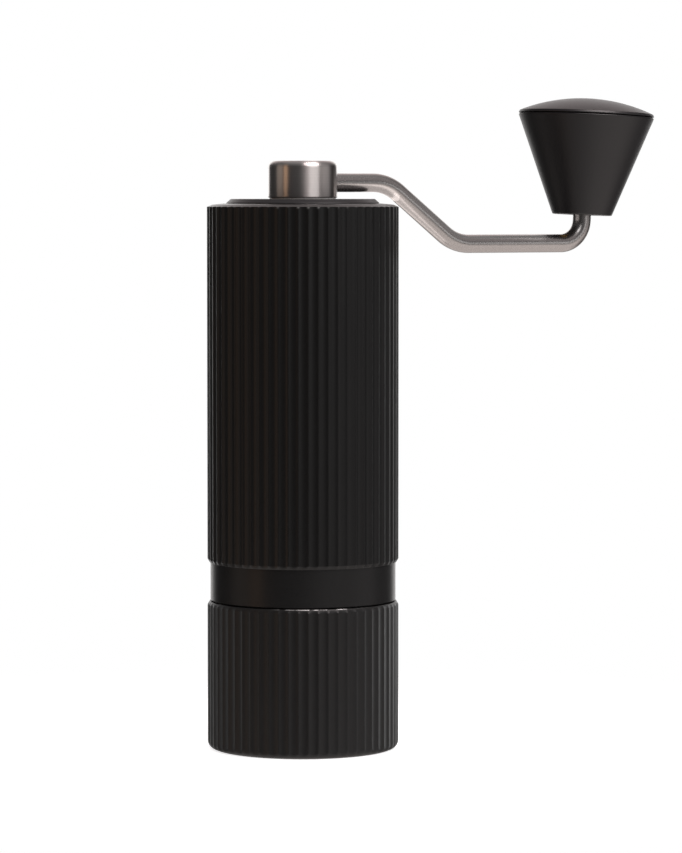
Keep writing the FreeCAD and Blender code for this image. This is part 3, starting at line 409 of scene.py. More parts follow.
@dataclass(frozen=True)
class Finish:
    """The look of a surface: its colour, the tone that wear lays bare, which also paints glints on marked
    rims, its gloss and its grain.
    """

    name: str
    colour: Colour
    bare: Colour
    metallic: float
    roughness: float
    lay: Lay
    grain: float
    relief: float
    unevenness: float = 0.08
    ior: float = 1.5
    patch: float = 14.0
    drag: float = 0.0
    drag_turn: float = 0.25
    detail: float = 3.0
    pebble: float = 0.6
    hollow_tone: float = 0.72
    hollow_limits: tuple[float, float] = (0.3, 0.7)
    # Noise that breaks up the bare rims, which are partly wear and partly painted glint.
    wear_glint_patch: float = 2.2
    wear_glint_limits: tuple[float, float] = (0.44, 0.56)
    grain_gloss: float = 0.1
    bump: float = 0.5

    def _grain(self, board: Board, spot: Signal) -> Signal:
        """The grain's height, from 0 to 1.

        Args:
            board: The material's board.
            spot: The place on the piece in millimetres.

        Returns:
            Noise that runs as the finish's lay does.
        """
        if self.lay is Lay.TURNED:
            x, y, z = board.parts(spot)
            rings = board.node("ShaderNodeCombineXYZ", {}, {0: (x * x + y * y) ** 0.5, 2: z})
            return board.noise(rings, self.grain, self.detail)
        if self.lay is Lay.MOULDED:
            spread = {"Vector": spot, "Scale": 1 / self.grain}
            cells = board.node("ShaderNodeTexVoronoi", {"feature": "SMOOTH_F1"}, spread)
            return cells * self.pebble + board.noise(spot, self.grain, self.detail) * self.pebble
        return board.noise(spot, self.grain, self.detail)

    def material(self) -> bpy.types.Material:
        """Build the finish: grain as bump and tone, soft patches in gloss, rims rubbed bare where the
        mesh marks them, partly wear and partly painted glint.

        Returns:
            The material.
        """
        made = bpy.data.materials.new(self.name)
        made.use_nodes = True
        board = Board(made.node_tree, "ShaderNodeBsdfPrincipled", "ShaderNodeOutputMaterial")
        spot = board.spot()
        grain = self._grain(board, spot)
        patches = board.noise(spot, self.patch, self.detail)
        # Bare metal where the mesh marks a rim: wear, and on the side towards the camera a painted glint.
        edge = board.node("ShaderNodeAttribute", {"attribute_name": GLINT_WEAR_MARK}, {}, "Fac")
        rub_and_glint = edge * board.noise(spot, self.wear_glint_patch).between(*self.wear_glint_limits)
        hollow = tuple(self.hollow_tone * part for part in self.colour)
        fresh = board.mix(grain.between(*self.hollow_limits), hollow, self.colour)
        board.set("Base Color", board.mix(rub_and_glint, fresh, self.bare))
        change = (patches - NOISE_MIDDLE) * self.unevenness + (grain - NOISE_MIDDLE) * self.grain_gloss
        board.set("Roughness", change + self.roughness)
        board.set("Metallic", rub_and_glint * (1.0 - self.metallic) + self.metallic)
        board.set("IOR", self.ior)
        board.set("Anisotropic", self.drag)
        board.set("Anisotropic Rotation", self.drag_turn)
        relief = {"Height": grain, "Strength": self.bump, "Distance": self.relief * MM}
        board.set("Normal", board.node("ShaderNodeBump", {}, relief))
        return made


ANODISED = Finish(
    name="black_anodised",
    colour=(0.012, 0.012, 0.0122),
    # Bare aluminium on marked rims, also used for painted glints.
    bare=(0.85, 0.85, 0.85),
    metallic=0.0,
    roughness=0.3,
    lay=Lay.BLASTED,
    grain=0.12,
    relief=0.012,
    ior=1.36,
)

FINISHES = (
    ANODISED,
    replace(ANODISED, name="cup_anodised", roughness=0.4),
    Finish(
        "satin_steel", (0.64, 0.61, 0.595), (0.7, 0.68, 0.66), 1.0, 0.32, Lay.TURNED, 0.1, 0.001, drag=0.9
    ),
    # The arm's blasted steel is a darker copy of satin_steel; the darker colour is painted shade.
    Finish("arm_steel", (0.5, 0.475, 0.465), (0.6, 0.58, 0.56), 1.0, 0.26, Lay.BLASTED, 0.2, 0.014),
    Finish(
        "black_plastic", (0.0075, 0.0069, 0.0081), (0.02, 0.02, 0.02), 0.0, 0.4, Lay.MOULDED, 0.18, 0.012
    ),
    Finish("bridge_plastic", (0.03, 0.03, 0.032), (0.05, 0.05, 0.05), 0.0, 0.5, Lay.MOULDED, 0.2, 0.02),
    Finish("shaft_steel", (0.55, 0.55, 0.54), (0.65, 0.65, 0.64), 1.0, 0.24, Lay.TURNED, 0.08, 0.003),
    Finish("screw_steel", (0.16, 0.16, 0.165), (0.35, 0.35, 0.35), 1.0, 0.34, Lay.BLASTED, 0.1, 0.004),
    Finish("bearing_steel", (0.7, 0.7, 0.71), (0.75, 0.75, 0.75), 1.0, 0.1, Lay.TURNED, 0.06, 0.001),
    Finish("burr_steel", (0.45, 0.45, 0.45), (0.6, 0.6, 0.6), 1.0, 0.3, Lay.TURNED, 0.09, 0.004),
    Finish("spring_steel", (0.4, 0.4, 0.41), (0.55, 0.55, 0.55), 1.0, 0.28, Lay.BLASTED, 0.1, 0.002),
    Finish("nut_aluminium", (0.6, 0.6, 0.62), (0.7, 0.7, 0.7), 1.0, 0.36, Lay.TURNED, 0.1, 0.004),
    Finish("brass", (0.62, 0.42, 0.16), (0.75, 0.55, 0.25), 1.0, 0.28, Lay.TURNED, 0.09, 0.003),
    Finish("seal_rubber", (0.012, 0.012, 0.012), (0.02, 0.02, 0.02), 0.0, 0.6, Lay.BLASTED, 0.15, 0.01),
    Finish("pale_plastic", (0.75, 0.75, 0.72), (0.8, 0.8, 0.78), 0.0, 0.4, Lay.MOULDED, 0.2, 0.01),
)


@dataclass
class Dressing:
    """The finishes, made once each, and the pieces they go on."""

    materials: dict[str, bpy.types.Material] = field(default_factory=dict)

    def finish(self, name: str) -> bpy.types.Material:
        """The material of a finish, made when it is first asked for.

        Args:
            name: The finish's name.

        Returns:
            Its material.
        """
        if name not in self.materials:
            look = next(finish for finish in FINISHES if finish.name == name)
            self.materials[name] = look.material()
        return self.materials[name]

    def place(self, piece: bpy.types.Object, body: str, node: str, slot: str, finish: str = "") -> None:
        """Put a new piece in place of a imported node.

        Args:
            piece: The new piece.
            body: The body that it rides on.
            node: The node that it stands for.
            slot: The record's material slot, which is also the finish's name.
            finish: The finish, where it is one of the slot's own variants.
        """
        piece.data.materials.append(self.finish(finish or slot))
        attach(piece, body)
        self.swap_in(piece, node)

    def stretch(
        self,
        piece: bpy.types.Object,
        bodies: tuple[str, str],
        heights: tuple[float, float],
        node: str,
        slot: str,
    ) -> None:
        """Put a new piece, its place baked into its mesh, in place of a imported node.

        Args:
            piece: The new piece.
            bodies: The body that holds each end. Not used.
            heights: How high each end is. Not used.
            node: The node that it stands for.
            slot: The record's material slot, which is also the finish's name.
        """
        piece.data.materials.append(self.finish(slot))
        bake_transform(piece)
        self.swap_in(piece, node)

    def swap_in(self, piece: bpy.types.Object, node: str) -> None:
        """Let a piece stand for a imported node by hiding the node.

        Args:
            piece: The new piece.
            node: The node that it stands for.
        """
        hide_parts(node)
        LOG.info("%s: %d faces in place of %s", piece.name, len(piece.data.polygons), node)

    def dress_nodes(self, frame: dict[str, Any]) -> None:
        """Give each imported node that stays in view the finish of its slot.

        Args:
            frame: The loaded frame.
        """
        for row in frame["record"]["subparts"]:
            node = frame["nodes"][row["node"]]
            if node.hide_render:
                continue
            node.data.materials.clear()
            node.data.materials.append(self.finish(row["material_slot"]))
            LOG.info("%s: %s", node.name, row["material_slot"])


@dataclass(frozen=True)
class Fluting:
    """Upright scallops round the body: circles of one radius that bite into its outside."""

    radius: float = 26.0
    count: int = 60
    depth: float = 0.3
    land: float = 0.12
    stations: tuple[float, ...] = (-0.5, -0.46, -0.4, -0.3, -0.17, 0.0, 0.17, 0.3, 0.4, 0.46)

    def turns(self) -> np.ndarray:
        """The angles of the columns, closest together at the crests."""
        pitch = 2 * math.pi / self.count
        return (np.arange(self.count)[:, None] * pitch + np.array(self.stations) * pitch).ravel()

    def wall(self) -> np.ndarray:
        """The fluted wall: r = c cos d - sqrt(q^2 - c^2 sin^2 d), at most the body's radius.

        d is the angle from a scallop's middle, q its radius and c how far its centre is from the axis.

        Returns:
            The radius r at each column's angle.
        """
        chord = 2 * math.pi * self.radius / self.count - self.land
        scoop = (chord**2 / 4 + self.depth**2) / (2 * self.depth)
        centre = self.radius - self.depth + scoop
        offset = np.tile(np.array(self.stations) * 2 * math.pi / self.count, self.count)
        inside = np.maximum(scoop**2 - (centre * np.sin(offset)) ** 2, 0.0)
        return np.minimum(centre * np.cos(offset) - np.sqrt(inside), self.radius)


def wear_and_glint_rim(grid: np.ndarray, rim: tuple[float, float], width: float, bearing: float) -> np.ndarray:
    """How bare a rim is, from wear and a painted glint: h (1 - d / width) times the square of 1 - f (1 -
    k), each held from 0 to 1.

    d is the distance from the rim, k the cosine of the angle from its barest side, h the wear's height
    and f its fall.
    On the barest side the bare metal is also a painted glint.

    Args:
        grid: The piece's points.
        rim: The rim's radius and height.
        width: How far from the rim the wear ends.
        bearing: The angle, in degrees, at which the rim is barest, where its painted glint stands.

    Returns:
        Wear and painted glint from 0 to 1 for each point.
    """
    away = np.hypot(np.hypot(grid[..., 0], grid[..., 1]) - rim[0], grid[..., 2] - rim[1])
    side = np.cos(np.arctan2(grid[..., 1], grid[..., 0]) - math.radians(bearing))
    across = np.clip(WEAR_GLINT_HEIGHT - WEAR_GLINT_HEIGHT * away / width, 0.0, 1.0)
    return across * np.clip(WEAR_GLINT_FALL * side - (WEAR_GLINT_FALL - 1.0), 0.0, 1.0) ** 2


@dataclass
class Sleeve:
    """Fluted sleeve with the sloped shoulder and the lid's seat."""

    dressing: Dressing
    fluting: Fluting = Fluting()
    foot: float = 50.8
    bore: float = 24.6
    edge_inset: float = 0.6
    edge_rise: float = 1.0
    foot_round: float = 0.12
    shoulder: float = 147.25
    shoulder_width: float = 1.45
    shoulder_rise: float = 0.62
    shoulder_lead: float = 0.6
    shoulder_edge: float = 0.06
    shoulder_round: float = 0.25
    rim: float = 148.2
    rim_round: float = 0.2
    lid_bore: float = 21.0
    seat: float = 146.2
    mouth: float = 19.6
    core_top: float = 145.0
    # The shoulder's edge rubbed bare: wear, and on the side towards the camera a painted glint.
    glint_side: float = -110.0
    wear_glint_width: float = 0.12
    wear_glint_share: float = 0.3

    def build(self) -> None:
        """Make the sleeve in place of its node."""
        radius = self.fluting.radius
        bite = self.fluting.depth
        slope = self.shoulder_rise / self.shoulder_width
        outline = soft_outline(
            [
                (self.bore, self.foot, CRISP),
                (radius - self.edge_inset, self.foot, self.foot_round),
                (radius, self.foot + self.edge_rise, EASED),
                (radius, self.shoulder - self.shoulder_lead, SQUARE),
                (radius, self.shoulder, self.shoulder_edge),
                (radius - bite / 2, self.shoulder + bite / 2 * slope, SQUARE),
                (radius - bite, self.shoulder + bite * slope, SQUARE),
                (radius - self.shoulder_width, self.shoulder + self.shoulder_rise, self.shoulder_round),
                (self.lid_bore, self.rim, self.rim_round),
                (self.lid_bore, self.seat, CRISP),
                (self.mouth, self.seat, EASED),
                (self.mouth, self.core_top, EASED),
                (self.bore, self.core_top, CRISP),
            ],
            closed=True,
        )
        grid = turned(outline, self.fluting.turns(), self.fluting.wall())
        # Bare rim mark: wear, and a painted glint on the side towards the camera.
        wear_and_glint = wear_and_glint_rim(grid, (radius, self.shoulder), self.wear_glint_width, self.glint_side)
        piece = skin("sleeve", grid, ring=True, marks={GLINT_WEAR_MARK: self.wear_glint_share * wear_and_glint})
        self.dressing.place(piece, "body", "outer_sleeve", "black_anodised")


@dataclass
class CatchCup:
    """Fluted cup with the thread inside its mouth."""

    dressing: Dressing
    fluting: Fluting = Fluting()
    height: float = 40.2
    foot_round: float = 2.0
    edge_inset: float = 0.6
    edge_rise: float = 1.0
    edge_row: float = 0.75
    mouth_round: float = 0.12
    bore: float = 23.0
    floor: float = 3.0
    corner: float = 3.0
    relief_radius: float = 23.6
    relief_foot: float = 37.8
    relief_slope: float = 0.3
    relief_round: float = 0.15
    thread_tops: tuple[float, ...] = (37.1, 35.6, 34.1)
    thread_depth: float = 0.5
    thread_width: float = 0.9
    thread_round: float = 0.08
    # The mouth's rim rubbed bare: wear, and on the side towards the camera a painted glint.
    glint_side: float = -103.0
    wear_glint_width: float = 0.14

    def build(self) -> None:
        """Make the cup in place of its node."""
        radius = self.fluting.radius
        thread = [
            corner
            for top in self.thread_tops
            for corner in (
                (self.bore, top, CRISP),
                (self.bore + self.thread_depth, top - self.thread_width / 2, self.thread_round),
                (self.bore, top - self.thread_width, CRISP),
            )
        ]
        row_inset = self.edge_row * self.edge_inset
        row_drop = (1 - self.edge_row) * self.edge_rise
        outline = soft_outline(
            [
                (0.0, 0.0, SQUARE),
                (radius, 0.0, self.foot_round),
                (radius, self.height - self.edge_rise, EASED),
                (radius - row_inset, self.height - row_drop, SQUARE),
                (radius - self.edge_inset, self.height, self.mouth_round),
                (self.relief_radius, self.height, self.relief_round),
                (self.relief_radius, self.relief_foot, EASED),
                (self.bore, self.relief_foot - self.relief_slope, EASED),
                *thread,
                (self.bore, self.floor, self.corner),
                (0.0, self.floor, SQUARE),
            ],
            closed=False,
        )
        grid = turned(outline, self.fluting.turns(), self.fluting.wall())
        mouth = (radius - self.edge_inset, self.height)
        # Bare rim mark: wear, and a painted glint on the side towards the camera.
        wear_and_glint = wear_and_glint_rim(grid, mouth, self.wear_glint_width, self.glint_side)
        piece = skin("cup", grid, poles=(True, True), marks={GLINT_WEAR_MARK: wear_and_glint})
        self.dressing.place(piece, "cup", "catch_cup", "black_anodised", "cup_anodised")


@dataclass
class Lid:
    """Lid with a bevelled edge and the skirt that centres it."""

    dressing: Dressing
    hole: float = 6.1
    plate: float = 146.5
    top: float = 149.4
    radius: float = 20.75
    foot: float = 146.2
    bevel: float = 1.2
    bevel_drop: float = 1.05
    skirt: float = 19.35
    skirt_bore: float = 17.75
    skirt_foot: float = 143.2
    skirt_edge: float = 0.2
    skirt_round: float = 0.3
    plate_round: float = 0.3
    foot_round: float = 0.15
    side_round: float = 0.25
    bevel_round: float = 0.35

    def build(self) -> None:
        """Make the lid in place of its node."""
        outline = soft_outline(
            [
                (self.hole, self.plate, EASED),
                (self.skirt_bore, self.plate, self.plate_round),
                (self.skirt_bore, self.skirt_foot, self.skirt_edge),
                (self.skirt, self.skirt_foot, self.skirt_round),
                (self.skirt, self.foot, EASED),
                (self.radius, self.foot, self.foot_round),
                (self.radius, self.top - self.bevel_drop, self.side_round),
                (self.radius - self.bevel, self.top, self.bevel_round),
                (self.hole, self.top, EASED),
            ],
            closed=True,
        )
        piece = skin("lid_disc", turned(outline, ROUND_TURNS), ring=True)
        self.dressing.place(piece, "lid", "lid", "black_plastic")


@dataclass
class Crank:
    """Hub with its hexagon socket, and the bent round arm."""

    dressing: Dressing
    socket_flats: float = 6.96
    socket_top: float = 157.2
    socket_row: float = 0.97
    socket_lead: float = 0.1
    socket_bevel: float = 0.9
    boss: float = 6.0
    boss_foot: float = 145.05
    boss_round: float = 0.2
    groove: float = 5.2
    groove_foot: float = 145.71
    groove_top: float = 146.39
    hub: float = 9.4
    hub_foot: float = 149.7
    hub_foot_round: float = 0.35
    hub_top: float = 159.7
    hub_round: float = 1.7
    arm: float = 2.55
    arm_root: float = 4.92
    arm_height: float = 153.8
    arm_low: float = 137.0
    first_bend: float = 25.2
    second_bend: float = 45.946
    bend_radius: float = 12.0
    elbow_radius: float = 6.7
    reach: float = 85.4
    lean: float = 2.6
    arm_end: float = 10.003
    arm_margin: float = 0.15
    bend_points: int = 25

    def build_hub(self) -> None:
        """Make the hub: a hexagon socket below, joined at its mouth to the turned outside.

        The socket's wall is half its flats over the cosine of the angle from the middle of a flat.
        """
        half_side = math.pi / HEXAGON
        flat = self.socket_flats / 2 / np.cos(np.mod(ROUND_TURNS, 2 * half_side) - half_side)
        depth = np.array(
            [
                (0.0, self.socket_top),
                (self.socket_row, self.socket_top),
                (1.0, self.socket_top),
                (1.0, self.socket_top - self.socket_lead),
                (1.0, self.boss_foot + self.socket_lead),
            ]
        )
        socket = turned(np.stack([np.ones(len(depth)), depth[:, 1]], axis=1), ROUND_TURNS)
        socket[..., :2] *= depth[:, :1, None] * flat[None, :, None]
        outline = soft_outline(
            [
                (self.socket_flats / 2 + self.socket_bevel, self.boss_foot, SQUARE),
                (self.boss, self.boss_foot, self.boss_round),
                (self.boss, self.groove_foot, CRISP),
                (self.groove, self.groove_foot, CRISP),
                (self.groove, self.groove_top, CRISP),
                (self.boss, self.groove_top, CRISP),
                (self.boss, self.hub_foot, EASED),
                (self.hub, self.hub_foot, self.hub_foot_round),
                (self.hub, self.hub_top, self.hub_round),
                (0.0, self.hub_top, SQUARE),
            ],
            closed=False,
        )
        grid = np.concatenate([socket, turned(outline, ROUND_TURNS)])
        piece = skin("hub", grid, poles=(True, True))
        self.dressing.place(piece, "crank", "crank_hub", "satin_steel")

    def build_arm(self) -> None:
        """Make the arm: a circle carried along straight runs and bends."""
        lean = math.radians(self.lean)
        path = soft_outline(
            [
                (self.arm_root, self.arm_height, SQUARE),
                (self.arm_root + self.arm_margin, self.arm_height, SQUARE),
                (self.first_bend, self.arm_height, self.bend_radius),
                (self.second_bend, self.arm_low, self.bend_radius),
                (self.reach, self.arm_low, self.elbow_radius),
                *(
                    (self.reach + run * math.sin(lean), self.arm_low + run * math.cos(lean), SQUARE)
                    for run in (self.arm_end - self.arm_margin, self.arm_end)
                ),
            ],
            closed=False,
            arc_points=self.bend_points,
        )
        grid = swept(path, self.arm, ROD_TURNS)
        piece = skin("arm", grid, poles=(True, True))
        # The arm takes the darker copy of satin steel, its darker colour painted shade.
        self.dressing.place(piece, "crank", "crank_arm", "satin_steel", "arm_steel")

    def build(self) -> None:
        """Make hub and arm."""
        self.build_hub()
        self.build_arm()


@dataclass
class Knob:
    """Conical knob and its domed cap, on an axis that leans out a little."""

    dressing: Dressing
    reach: float = 85.4
    low: float = 137.0
    lean: float = 2.6
    foot: float = 7.903
    foot_radius: float = 8.3
    foot_round: float = 0.5
    rim: float = 35.603
    rim_radius: float = 19.0
    rim_round: float = 0.3
    plug: float = 15.0
    plug_floor: float = 33.603
    pocket: float = 4.2
    upper_seat: float = 29.203
    bush: float = 3.26
    lower_seat: float = 11.103
    flange: float = 4.16
    cap_radius: float = 18.9
    cap_plug: float = 14.9
    cap_plug_round: float = 0.2
    cap_foot: float = 35.853
    dome_foot: float = 36.453
    dome: float = 4.0
    dome_inset: float = 1.0
    dome_rows: int = 40
    chamfer: float = 0.255
    chamfer_drop: float = 0.4
    chamfer_rise: float = 0.1

    def stand(self, grid: np.ndarray) -> np.ndarray:
        """Move a grid from the Z axis to the knob's, which leans by l at x0 and z0.

        The new x is x0 + x cos l + z sin l, the new z is z0 - x sin l + z cos l, and y stays.

        Args:
            grid: Points round the Z axis.

        Returns:
            The same points round the knob's axis.
        """
        lean = math.radians(self.lean)
        x = self.reach + grid[..., 0] * math.cos(lean) + grid[..., 2] * math.sin(lean)
        z = self.low - grid[..., 0] * math.sin(lean) + grid[..., 2] * math.cos(lean)
        return np.stack([x, grid[..., 1], z], axis=-1)

    def build_body(self) -> None:
        """Make the cone with its cap seat, bush seats and pocket."""
        outline = soft_outline(
            [
                (self.flange, self.foot, EASED),
                (self.foot_radius, self.foot, self.foot_round),
                (self.rim_radius, self.rim, self.rim_round),
                (self.plug, self.rim, EASED),
                (self.plug, self.plug_floor, EASED),
                (self.pocket, self.plug_floor, EASED),
                (self.pocket, self.upper_seat, EASED),
                (self.bush, self.upper_seat, CRISP),
                (self.bush, self.lower_seat, CRISP),
                (self.flange, self.lower_seat, EASED),
            ],
            closed=True,
        )
        piece = skin("knob_cone", self.stand(turned(outline, ROUND_TURNS)), ring=True)
        self.dressing.place(piece, "knob", "knob_body", "black_plastic")

    def build_cap(self) -> None:
        """Make the cap: a plug, a chamfered edge and a dome z = foot + sqrt(R^2 - r^2) - (R - rise).

        R is the radius of the ball whose cap rises so far over the cap's own radius.
        """
        ball = (self.cap_radius**2 + self.dome**2) / (2 * self.dome)
        radius = np.linspace(self.cap_radius - self.dome_inset, 0.0, self.dome_rows)
        height = self.dome_foot + np.sqrt(ball**2 - radius**2) - (ball - self.dome)
        edge = soft_outline(
            [
                (0.0, self.plug_floor, SQUARE),
                (self.cap_plug, self.plug_floor, self.cap_plug_round),
                (self.cap_plug, self.cap_foot, CRISP),
                (self.cap_radius, self.cap_foot, CRISP),
                (self.cap_radius, self.dome_foot - self.chamfer_drop, CRISP),
                (self.cap_radius - self.chamfer, self.dome_foot + self.chamfer_rise, EASED),
                (radius[0], height[0], SQUARE),
            ],
            closed=False,
        )
        outline = np.concatenate([edge[:-1], np.stack([radius, height], axis=1)])
        piece = skin("knob_top", self.stand(turned(outline, ROUND_TURNS)), poles=(True, True))
        self.dressing.place(piece, "knob", "knob_cap", "black_plastic")

    def build(self) -> None:
        """Make cone and cap."""
        self.build_body()
        self.build_cap()


@dataclass
class BurrSpring:
    """Coil over the cone burr, held above by the shaft's washer and below by the burr's pocket."""

    dressing: Dressing
    radius: float = 5.3
    wire: float = 0.42
    foot: float = 55.47
    head: float = 62.03
    turns: float = 4.5
    points_each_turn: int = 32

    def build(self) -> None:
        """Make the coil: a circle carried up an even helix, p + w (cos a n + sin a b), with flat ends.

        p is the helix's point, w the wire's radius, n points out from the axis, and b is square to n
        and to the wire.
        """
        count = round(self.turns * self.points_each_turn)
        rows = np.concatenate([[0], np.arange(count + 1), [count]])
        spread = np.full((len(rows), 1), self.wire)
        spread[[0, -1]] = 0.0
        angle = 2 * math.pi * self.turns * rows[:, None] / count
        height = self.foot + (self.head - self.foot) * rows[:, None] / count
        pitch = math.atan2(self.head - self.foot, 2 * math.pi * self.turns * self.radius)
        out = self.radius + spread * np.cos(WIRE_TURNS)
        side = spread * np.sin(WIRE_TURNS)
        x = out * np.cos(angle) - side * math.sin(pitch) * np.sin(angle)
        y = out * np.sin(angle) + side * math.sin(pitch) * np.cos(angle)
        grid = np.stack([x, y, height - side * math.cos(pitch)], axis=-1)
        piece = skin("burr_coil", grid, poles=(True, True))
        ends = (self.head, self.foot)
        self.dressing.stretch(piece, ("shaft", "burr"), ends, "burr_spring", "spring_steel")


# The pieces that right_box and left_box leave out.
UNRIMMED = ("arm", "hub", "lid_disc", "knob_cone", "knob_top", "body_core")


class Outline(Enum):
    """The shape of a studio light's face, as Blender names it."""

    RECTANGLE = "RECTANGLE"
    ELLIPSE = "ELLIPSE"


class Linking(Enum):
    """Whether a light acts on some pieces alone or leaves them out, as Blender names it."""

    ALONE = "INCLUDE"
    LEFT_OUT = "EXCLUDE"


@dataclass(frozen=True)
class SoftBox:
    """A studio light, placed as the photographer sees it: right, towards the camera, up.

    It faces the aim, given in the same way. It may leave out some pieces, or light some pieces alone.
    """

    name: str
    right: float
    near: float
    up: float
    width: float
    height: float
    glow: float
    colour: Colour = (1.0, 1.0, 1.0)
    aim: tuple[float, float, float] = (0.0, 0.0, 95.0)
    outline: Outline = Outline.RECTANGLE
    skips: tuple[str, ...] = ()
    lights: tuple[str, ...] = ()


@dataclass
class Studio:
    """Pale floor, white surroundings, soft boxes and the camera.

    Walls, ground and sky give the tone of the surroundings at bearings in degrees, 0 towards the camera
    and 90 to its right. One gives way to the next between the limits, shares of straight up or down.
    """

    azimuth: float = -24.8
    distance: float = 1075.1
    eye: float = 151.2
    sideways: float = 10.35
    pitch: float = 3.384
    lens: float = 167.17
    sensor: float = 36.0
    clip_start: float = 0.05
    clip_end: float = 50.0
    floor_radius: float = 190.0
    floor_clear: float = 35.0
    floor_rings: int = 24
    floor_drop: float = 0.05
    floor_mottle: float = 60.0
    floor_detail: float = 4.0
    floor_tones: tuple[Colour, Colour] = ((0.88, 0.88, 0.88), (0.92, 0.92, 0.92))
    floor_roughness: float = 0.7
    floor_glow: float = 0.78
    white: Colour = (1.0, 1.0, 1.0)
    boxes: tuple[SoftBox, ...] = (
        SoftBox("strip_box", 470.0, 578.0, 620.0, 560.0, 1040.0, 1.2, skips=("arm",)),
        SoftBox(
            "edge_box", 290.0, 320.0, 760.0, 520.0, 330.0, 7.6, (1.0, 0.88, 0.87), skips=("arm", "sleeve")
        ),
        SoftBox("right_box", 495.0, -550.0, 300.0, 240.0, 1100.0, 0.5, skips=UNRIMMED),
        SoftBox("left_box", -370.0, -641.0, 300.0, 200.0, 1100.0, 0.8, skips=UNRIMMED),
        SoftBox("cup_right_card", 410.0, -287.0, 60.0, 300.0, 300.0, 1.15, lights=("cup",)),
        SoftBox("cup_left_card", -453.0, -211.0, 60.0, 200.0, 300.0, 0.7, lights=("cup",)),
        SoftBox("warm_box", -600.0, 360.0, 150.0, 160.0, 700.0, 0.52, (1.0, 0.62, 0.38), skips=("arm",)),
        SoftBox("left_wall", -695.0, 85.0, 150.0, 300.0, 700.0, 0.25, (1.0, 0.79, 0.65), skips=("arm",)),
        SoftBox("elbow_box", 147.0, 853.0, 640.0, 300.0, 340.0, 2.2, lights=("arm",)),
        SoftBox("slope_box", 612.0, 339.0, 195.0, 184.0, 196.0, 0.9, lights=("arm",)),
        SoftBox(
            "shoulder_card", 0.0, 0.0, 148.9, 56.0, 56.0, 0.85, (1.0, 0.93, 0.9),
            aim=(0.0, 0.0, 400.0),
            outline=Outline.ELLIPSE,
            lights=("arm",),
        ),
        SoftBox(
            "side_card", 23.7, -10.9, 105.5, 50.0, 85.0, 0.95, (1.0, 0.93, 0.9),
            aim=(454.0, -209.5, 105.5),
            lights=("arm",),
        ),
        SoftBox(
            "knob_card", 65.6, -30.3, 158.6, 24.0, 29.0, 0.33,
            aim=(-191.6, 88.4, 61.3),
            lights=("arm",),
        ),
    )
    walls: tuple[tuple[float, Colour], ...] = (
        (-180.0, (1.5, 1.47, 1.45)),
        (-156.0, (1.5, 1.47, 1.45)),
        (-143.0, (0.04, 0.04, 0.04)),
        (-106.0, (0.04, 0.04, 0.04)),
        (-47.0, (0.045, 0.04, 0.04)),
        (-8.0, (0.05, 0.05, 0.05)),
        (20.0, (0.1, 0.1, 0.103)),
        (64.0, (0.18, 0.175, 0.175)),
        (74.0, (0.38, 0.36, 0.36)),
        (96.0, (0.38, 0.36, 0.36)),
        (106.0, (0.08, 0.08, 0.08)),
        (143.0, (0.05, 0.05, 0.05)),
        (156.0, (1.5, 1.47, 1.45)),
        (180.0, (1.5, 1.47, 1.45)),
    )
    ground: tuple[tuple[float, Colour], ...] = (
        (-180.0, (0.5, 0.48, 0.47)),
        (-150.0, (0.22, 0.21, 0.2)),
        (-126.0, (0.03, 0.03, 0.03)),
        (-108.0, (0.05, 0.05, 0.05)),
        (-98.0, (0.42, 0.38, 0.36)),
        (-72.0, (0.4, 0.35, 0.32)),
        (-66.0, (0.85, 0.55, 0.36)),
        (-52.0, (0.85, 0.55, 0.36)),
        (-46.0, (0.12, 0.11, 0.11)),
        (-12.0, (0.14, 0.135, 0.13)),
        (8.0, (0.55, 0.52, 0.5)),
        (28.0, (1.0, 0.92, 0.88)),
        (80.0, (1.0, 0.92, 0.88)),
        (100.0, (0.5, 0.46, 0.44)),
        (116.0, (0.12, 0.11, 0.11)),
        (150.0, (0.22, 0.21, 0.2)),
        (180.0, (0.5, 0.48, 0.47)),
    )
    sky: tuple[tuple[float, Colour], ...] = (
        (-180.0, (1.0, 0.87, 0.86)),
        (-155.0, (0.74, 0.64, 0.63)),
        (-125.0, (0.15, 0.15, 0.15)),
        (-8.0, (0.13, 0.13, 0.13)),
        (30.0, (0.385, 0.352, 0.352)),
        (90.0, (0.385, 0.352, 0.352)),
        (125.0, (0.18, 0.18, 0.18)),
        (155.0, (0.74, 0.64, 0.63)),
        (180.0, (1.0, 0.87, 0.86)),
    )
    ceiling: Colour = (0.41, 0.39, 0.39)
    below: Colour = (0.95, 0.87, 0.835)
    ceiling_limits: tuple[float, float] = (0.7, 0.95)
    sky_limits: tuple[float, float] = (0.25, 0.55)
    below_limits: tuple[float, float] = (0.5, 0.75)
    ground_limits: tuple[float, float] = (0.02, 0.4)

    def place(self, right: float, near: float, up: float) -> tuple[float, float, float]:
        """The frame's place of a point given as the photographer sees it, by a turn round the Z axis.

        Args:
            right: How far to the right.
            near: How far towards the camera.
            up: How high.

        Returns:
            x, y and z in metres.
        """
        turn = math.radians(self.azimuth)
        x = right * math.cos(turn) + near * math.sin(turn)
        y = right * math.sin(turn) - near * math.cos(turn)
        return (x * MM, y * MM, up * MM)

